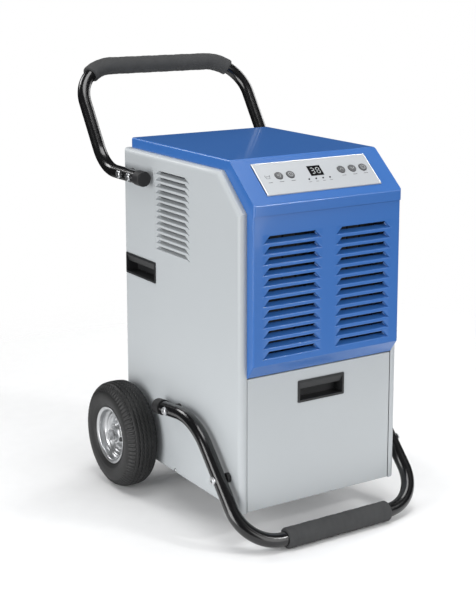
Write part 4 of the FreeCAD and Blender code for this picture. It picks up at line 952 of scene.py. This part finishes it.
WHEEL_X = 0.214
TYRE_HALF = 0.0329
TREAD_FROM = 0.088              # radius where the notches begin
GROOVES = (-0.0205, -0.0125, -0.0043, 0.0043, 0.0125, 0.0205)
GROOVE_HALF = 0.0012
GROOVE_DEEP = 0.0016
GROOVE_SWING = 0.0011
WAVES = 72
CROWN_HALF = 0.0225             # the grooves stay within this and above CROWN_FROM
CROWN_FROM = 0.0975
NOTCHES = 72
NOTCH_FROM = 0.0222
NOTCH_FADE = 0.0012             # the notches fade in over this much across
TREAD_FADE = 0.0016             # and over this much in radius
NOTCH_DEEP = 0.0013
NOTCH_SIDE = 0.0009
LINE_R = 0.0690                 # a moulded line round the flank
LINE_WIDE = 0.0011
LINE_HIGH = 0.0005
FLANK_FROM = 0.025
TYRE_SIDE = ((0.0253, 0.0509), (0.0253, 0.0561), (0.0283, 0.0600),      # across, radius
             (TYRE_HALF - 0.0014, 0.0660), (TYRE_HALF - 0.0003, 0.0745),
             (TYRE_HALF - 0.0002, 0.0800), (TYRE_HALF - 0.0012, 0.0870),
             (TYRE_HALF - 0.0055, 0.0950), (TYRE_HALF - 0.0115, 0.1000),
             (TYRE_HALF - 0.0160, 0.1019))
CROWN_EDGE = TYRE_HALF - 0.0175
CROWN_R = 0.1034
CROWN_FALL = 0.0012
TYRE_INSIDE = ((-0.0170, 0.0509), (-0.0170, 0.0570), (-0.0240, 0.0680), (-0.0250, 0.0780),
               (-0.0220, 0.0890), (-0.0120, 0.0940), (0.0120, 0.0940), (0.0220, 0.0890),
               (0.0250, 0.0780), (0.0240, 0.0680), (0.0170, 0.0570), (0.0170, 0.0509))
RIM_WELL = ((0.0274, 0.0555), (0.0268, 0.0538), (0.0256, 0.0508), (0.0142, 0.0502),
            (0.0100, 0.0436), (-0.0100, 0.0436), (-0.0142, 0.0502), (-0.0256, 0.0508),
            (-0.0268, 0.0538), (-0.0274, 0.0555))
RIM_EDGE = ((-0.0270, 0.0558), (-0.0262, 0.0550))
RIM_THICK = 0.0015
DISC_LINE = ((0.0020, 0.0428), (0.0110, 0.0415), (0.0116, 0.0385), (0.0070, 0.0350),
             (0.0050, 0.0300), (0.0085, 0.0240), (0.0130, 0.0205), (0.0160, 0.0190),
             (0.0162, 0.0156))
DISC_THICK = 0.0016
LOBES = 5
LOBE_R = 0.0300
LOBE_WIDE = 0.0062
LOBE_HIGH = 0.0034
HUB_LINE = ((0.0212, 0.0150), (0.0220, 0.0146), (0.0220, 0.0131), (-0.0220, 0.0131),
            (-0.0220, 0.0150))


def tyre_rubber():
    """Vulcanised rubber: charcoal, in random lighter and darker patches, with a fine mould grain.
    """
    finish = Finish("tyre_rubber", (0.014, 0.014, 0.015), 0.62)
    finish.weather(finish.noise(30.0, 4.0), (0.003, 0.003, 0.0035),
                   (0.009, 0.009, 0.009), 0.42, 0.2)
    return finish.bump(finish.noise(1300.0, 3.0), 0.00008, 0.5)


def smoothed(profile, count):
    """Points evenly spaced along a profile whose corners are rounded by averaging twice."""
    line = np.array(profile, float)
    for _ in range(2):
        between = np.stack([line[:-1] * 0.75 + line[1:] * 0.25,
                            line[:-1] * 0.25 + line[1:] * 0.75], 1).reshape(-1, 2)
        line = np.vstack([line[:1], between, line[-1:]])
    run = np.concatenate([[0.0], np.cumsum(np.linalg.norm(np.diff(line, axis=0), axis=1))])
    at = np.linspace(0.0, run[-1], count)
    return np.stack([np.interp(at, run, line[:, 0]), np.interp(at, run, line[:, 1])], -1)


def turned(across, radius, turn, centre):
    """From distances along the axle, radii and angles to points about a wheel's centre."""
    return np.stack(np.broadcast_arrays(centre[0] + across, centre[1] + radius * np.cos(turn),
                                        centre[2] + radius * np.sin(turn)), -1)


def tyre(centre, steps=576):
    """The tyre's skin: its profile is turned about the axle. The radius falls by a groove
    where a point lies near a groove's line, which swings from side to side in a triangle
    wave, and in every second half-step of the angle near the shoulders for the notches."""
    crown_x = np.linspace(CROWN_EDGE, -CROWN_EDGE, 66)
    shape = smoothed(TYRE_SIDE, 32)
    crown = np.stack([crown_x, CROWN_R - CROWN_FALL * (crown_x / CROWN_EDGE) ** 2], -1)
    outside = np.vstack([shape, crown, shape[::-1] * [-1, 1]])
    section = np.vstack([outside, TYRE_INSIDE])
    turn = full_turn(steps)[:, None]
    x, r = section.T
    is_skin = np.arange(len(section)) < len(outside)
    swing = GROOVE_SWING * (2 * np.abs((turn * WAVES / (2 * math.pi)) % 1.0 * 2 - 1) - 1)
    cut = np.zeros_like(x)
    for number, line in enumerate(GROOVES):
        away = np.abs(x - line - swing * (-1) ** number)
        cut = np.maximum(cut, np.clip(1.5 - away / GROOVE_HALF, 0, 1))
    cut = cut * (np.abs(x) < CROWN_HALF) * (r > CROWN_FROM)
    step = (turn * NOTCHES / (2 * math.pi) + 0.25 * np.sign(x)) % 1.0
    notch = np.clip(1.9 - np.abs(step - 0.5) * 6.0, 0, 1)
    band = (np.clip((np.abs(x) - NOTCH_FROM) / NOTCH_FADE, 0, 1)
            * np.clip((r - TREAD_FROM) / TREAD_FADE, 0, 1))
    r = r - is_skin * (cut * GROOVE_DEEP + notch * band * NOTCH_DEEP)
    x = x - is_skin * np.sign(x) * notch * band * NOTCH_SIDE
    line_ring = np.exp(-((r - LINE_R) / LINE_WIDE) ** 2) * LINE_HIGH
    x = x - is_skin * np.sign(x) * line_ring * (np.abs(x) > FLANK_FROM)
    return patch(turned(x, r, turn, centre), around=True, loop=True)


def rim(centre, side, steps=160):
    """Well, flanges, disc and hub in one turned section. The disc lies nearer the open side,
    and moves out along the axle in five lobes: the cosine of five times the angle, largest
    midway between the hub and the well."""
    well = smoothed(RIM_WELL, 60)
    edge = np.array(RIM_EDGE)
    back = well[::-1] * [0.985, 1] - [0.0, RIM_THICK]
    section = np.vstack([well, edge, back, edge[::-1] * [-1, 1]])
    turn = full_turn(steps)[:, None]
    barrel = turned(side * section[:, 0], section[:, 1], turn, centre)
    disc_line = smoothed(DISC_LINE, 44)
    r = disc_line[:, 1]
    lobe = np.clip(1 - np.abs(r - LOBE_R) / LOBE_WIDE, 0, 1)
    lobe = lobe * lobe * (3 - 2 * lobe)
    out = disc_line[:, 0] + LOBE_HIGH * lobe * (0.5 + 0.5 * np.cos(LOBES * turn))
    out = np.hstack([out, (out - DISC_THICK)[:, ::-1]])
    disc = turned(side * out, np.concatenate([r, r[::-1]]), turn, centre)
    hub_line = np.array(HUB_LINE)
    hub = turned(side * hub_line[:, 0], hub_line[:, 1], turn, centre)
    return [patch(shell, around=True, loop=True) for shell in (barrel, disc, hub)]


rubber = tyre_rubber()
for side, name in ((-1, "left"), (1, "right")):
    low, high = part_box(name + "_tyre")
    centre = (side * WHEEL_X, (low.y + high.y) / 2, (low.z + high.z) / 2)
    skin = piece(name + "_tyre_skin", [tyre(centre)], rubber, name + "_wheel",
                 crease=45.0)
    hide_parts(name + "_tyre")
    pressing = piece(name + "_rim_pressing", rim(centre, side), zinc, name + "_wheel",
                     crease=32.0)
    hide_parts(name + "_rim")
    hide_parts(name + "_disc")
paint(cap_rubber, "left_valve", "right_valve")

# ---------------------------------------------------------------- air path
# Behind the grille stand a washable filter, the cold coil with its drip tray and the warm
# coil, then a moulded shroud with a motor and a bladed fan, all on the middle shelf.


def fin_aluminium():
    """A block of thin upright fins, coated black. Fine dark and light bands run across it: in
    colour they are painted shade between the fins and painted light on their edges, in roughness
    and bump they are the fins' relief.
    """
    finish = Finish("fin_aluminium", (0.030, 0.031, 0.033), 0.55, Metallic=0.2)
    fin_relief_and_painted_shade = finish.noise(1100.0, 1.0, (1.0, 0.01, 0.004))
    # the bands' colour is painted shade between the fins and painted light on the fin edges
    finish.weather(fin_relief_and_painted_shade, (0.010, 0.010, 0.011), (0.050, 0.052, 0.055), 0.35, 0.3)
    return finish.bump(fin_relief_and_painted_shade, 0.0006, 0.8)


def drawn_copper():
    """Drawn copper tube, browned in patches."""
    finish = Finish("drawn_copper", (0.75, 0.36, 0.20), 0.28, Metallic=1.0)
    finish.weather(finish.noise(70.0, 4.0), (0.52, 0.24, 0.13), (0.80, 0.41, 0.25), 0.2, 0.25)
    return finish.bump(finish.noise(600.0), 0.00003, 0.4)


aluminium = fin_aluminium()
filter_mesh = moulded("filter_plastic", (0.008, 0.008, 0.009), (0.005, 0.005, 0.006), 0.85, 700.0,
                      0.0003)
dark_plastic = moulded("black_plastic", (0.022, 0.022, 0.023), (0.015, 0.015, 0.016), 0.45, 900.0)
paint(filter_mesh, "intake_filter")
paint(aluminium, "evaporator_coil", "condenser_coil")
paint(dark_plastic, "drip_tray", "fan_shroud", "fan_blades", "level_switch", "cable_gland",
      "control_box")
paint(inner_steel, "fan_motor", "run_capacitor")

# ---------------------------------------------------------------- refrigeration
# A hermetic compressor with a black baked coat stands on the base tray. Rubber feet and bolts
# carry it, and bent copper pipes join it to both coils. The drain's barb leaves at the back.

shell_black = Finish("compressor_paint", (0.014, 0.014, 0.015), 0.3, Coat_Weight=0.3)
shell_peel = shell_black.noise(220.0)
shell_black.set("Roughness", 0.24 + shell_peel * 0.18)
paint(shell_black.bump(shell_peel, 0.00006, 0.4), "compressor")
paint(cap_rubber, "compressor_feet")
paint(drawn_copper(), "refrigerant_pipes")
paint(dark_plastic, "drain_outlet")
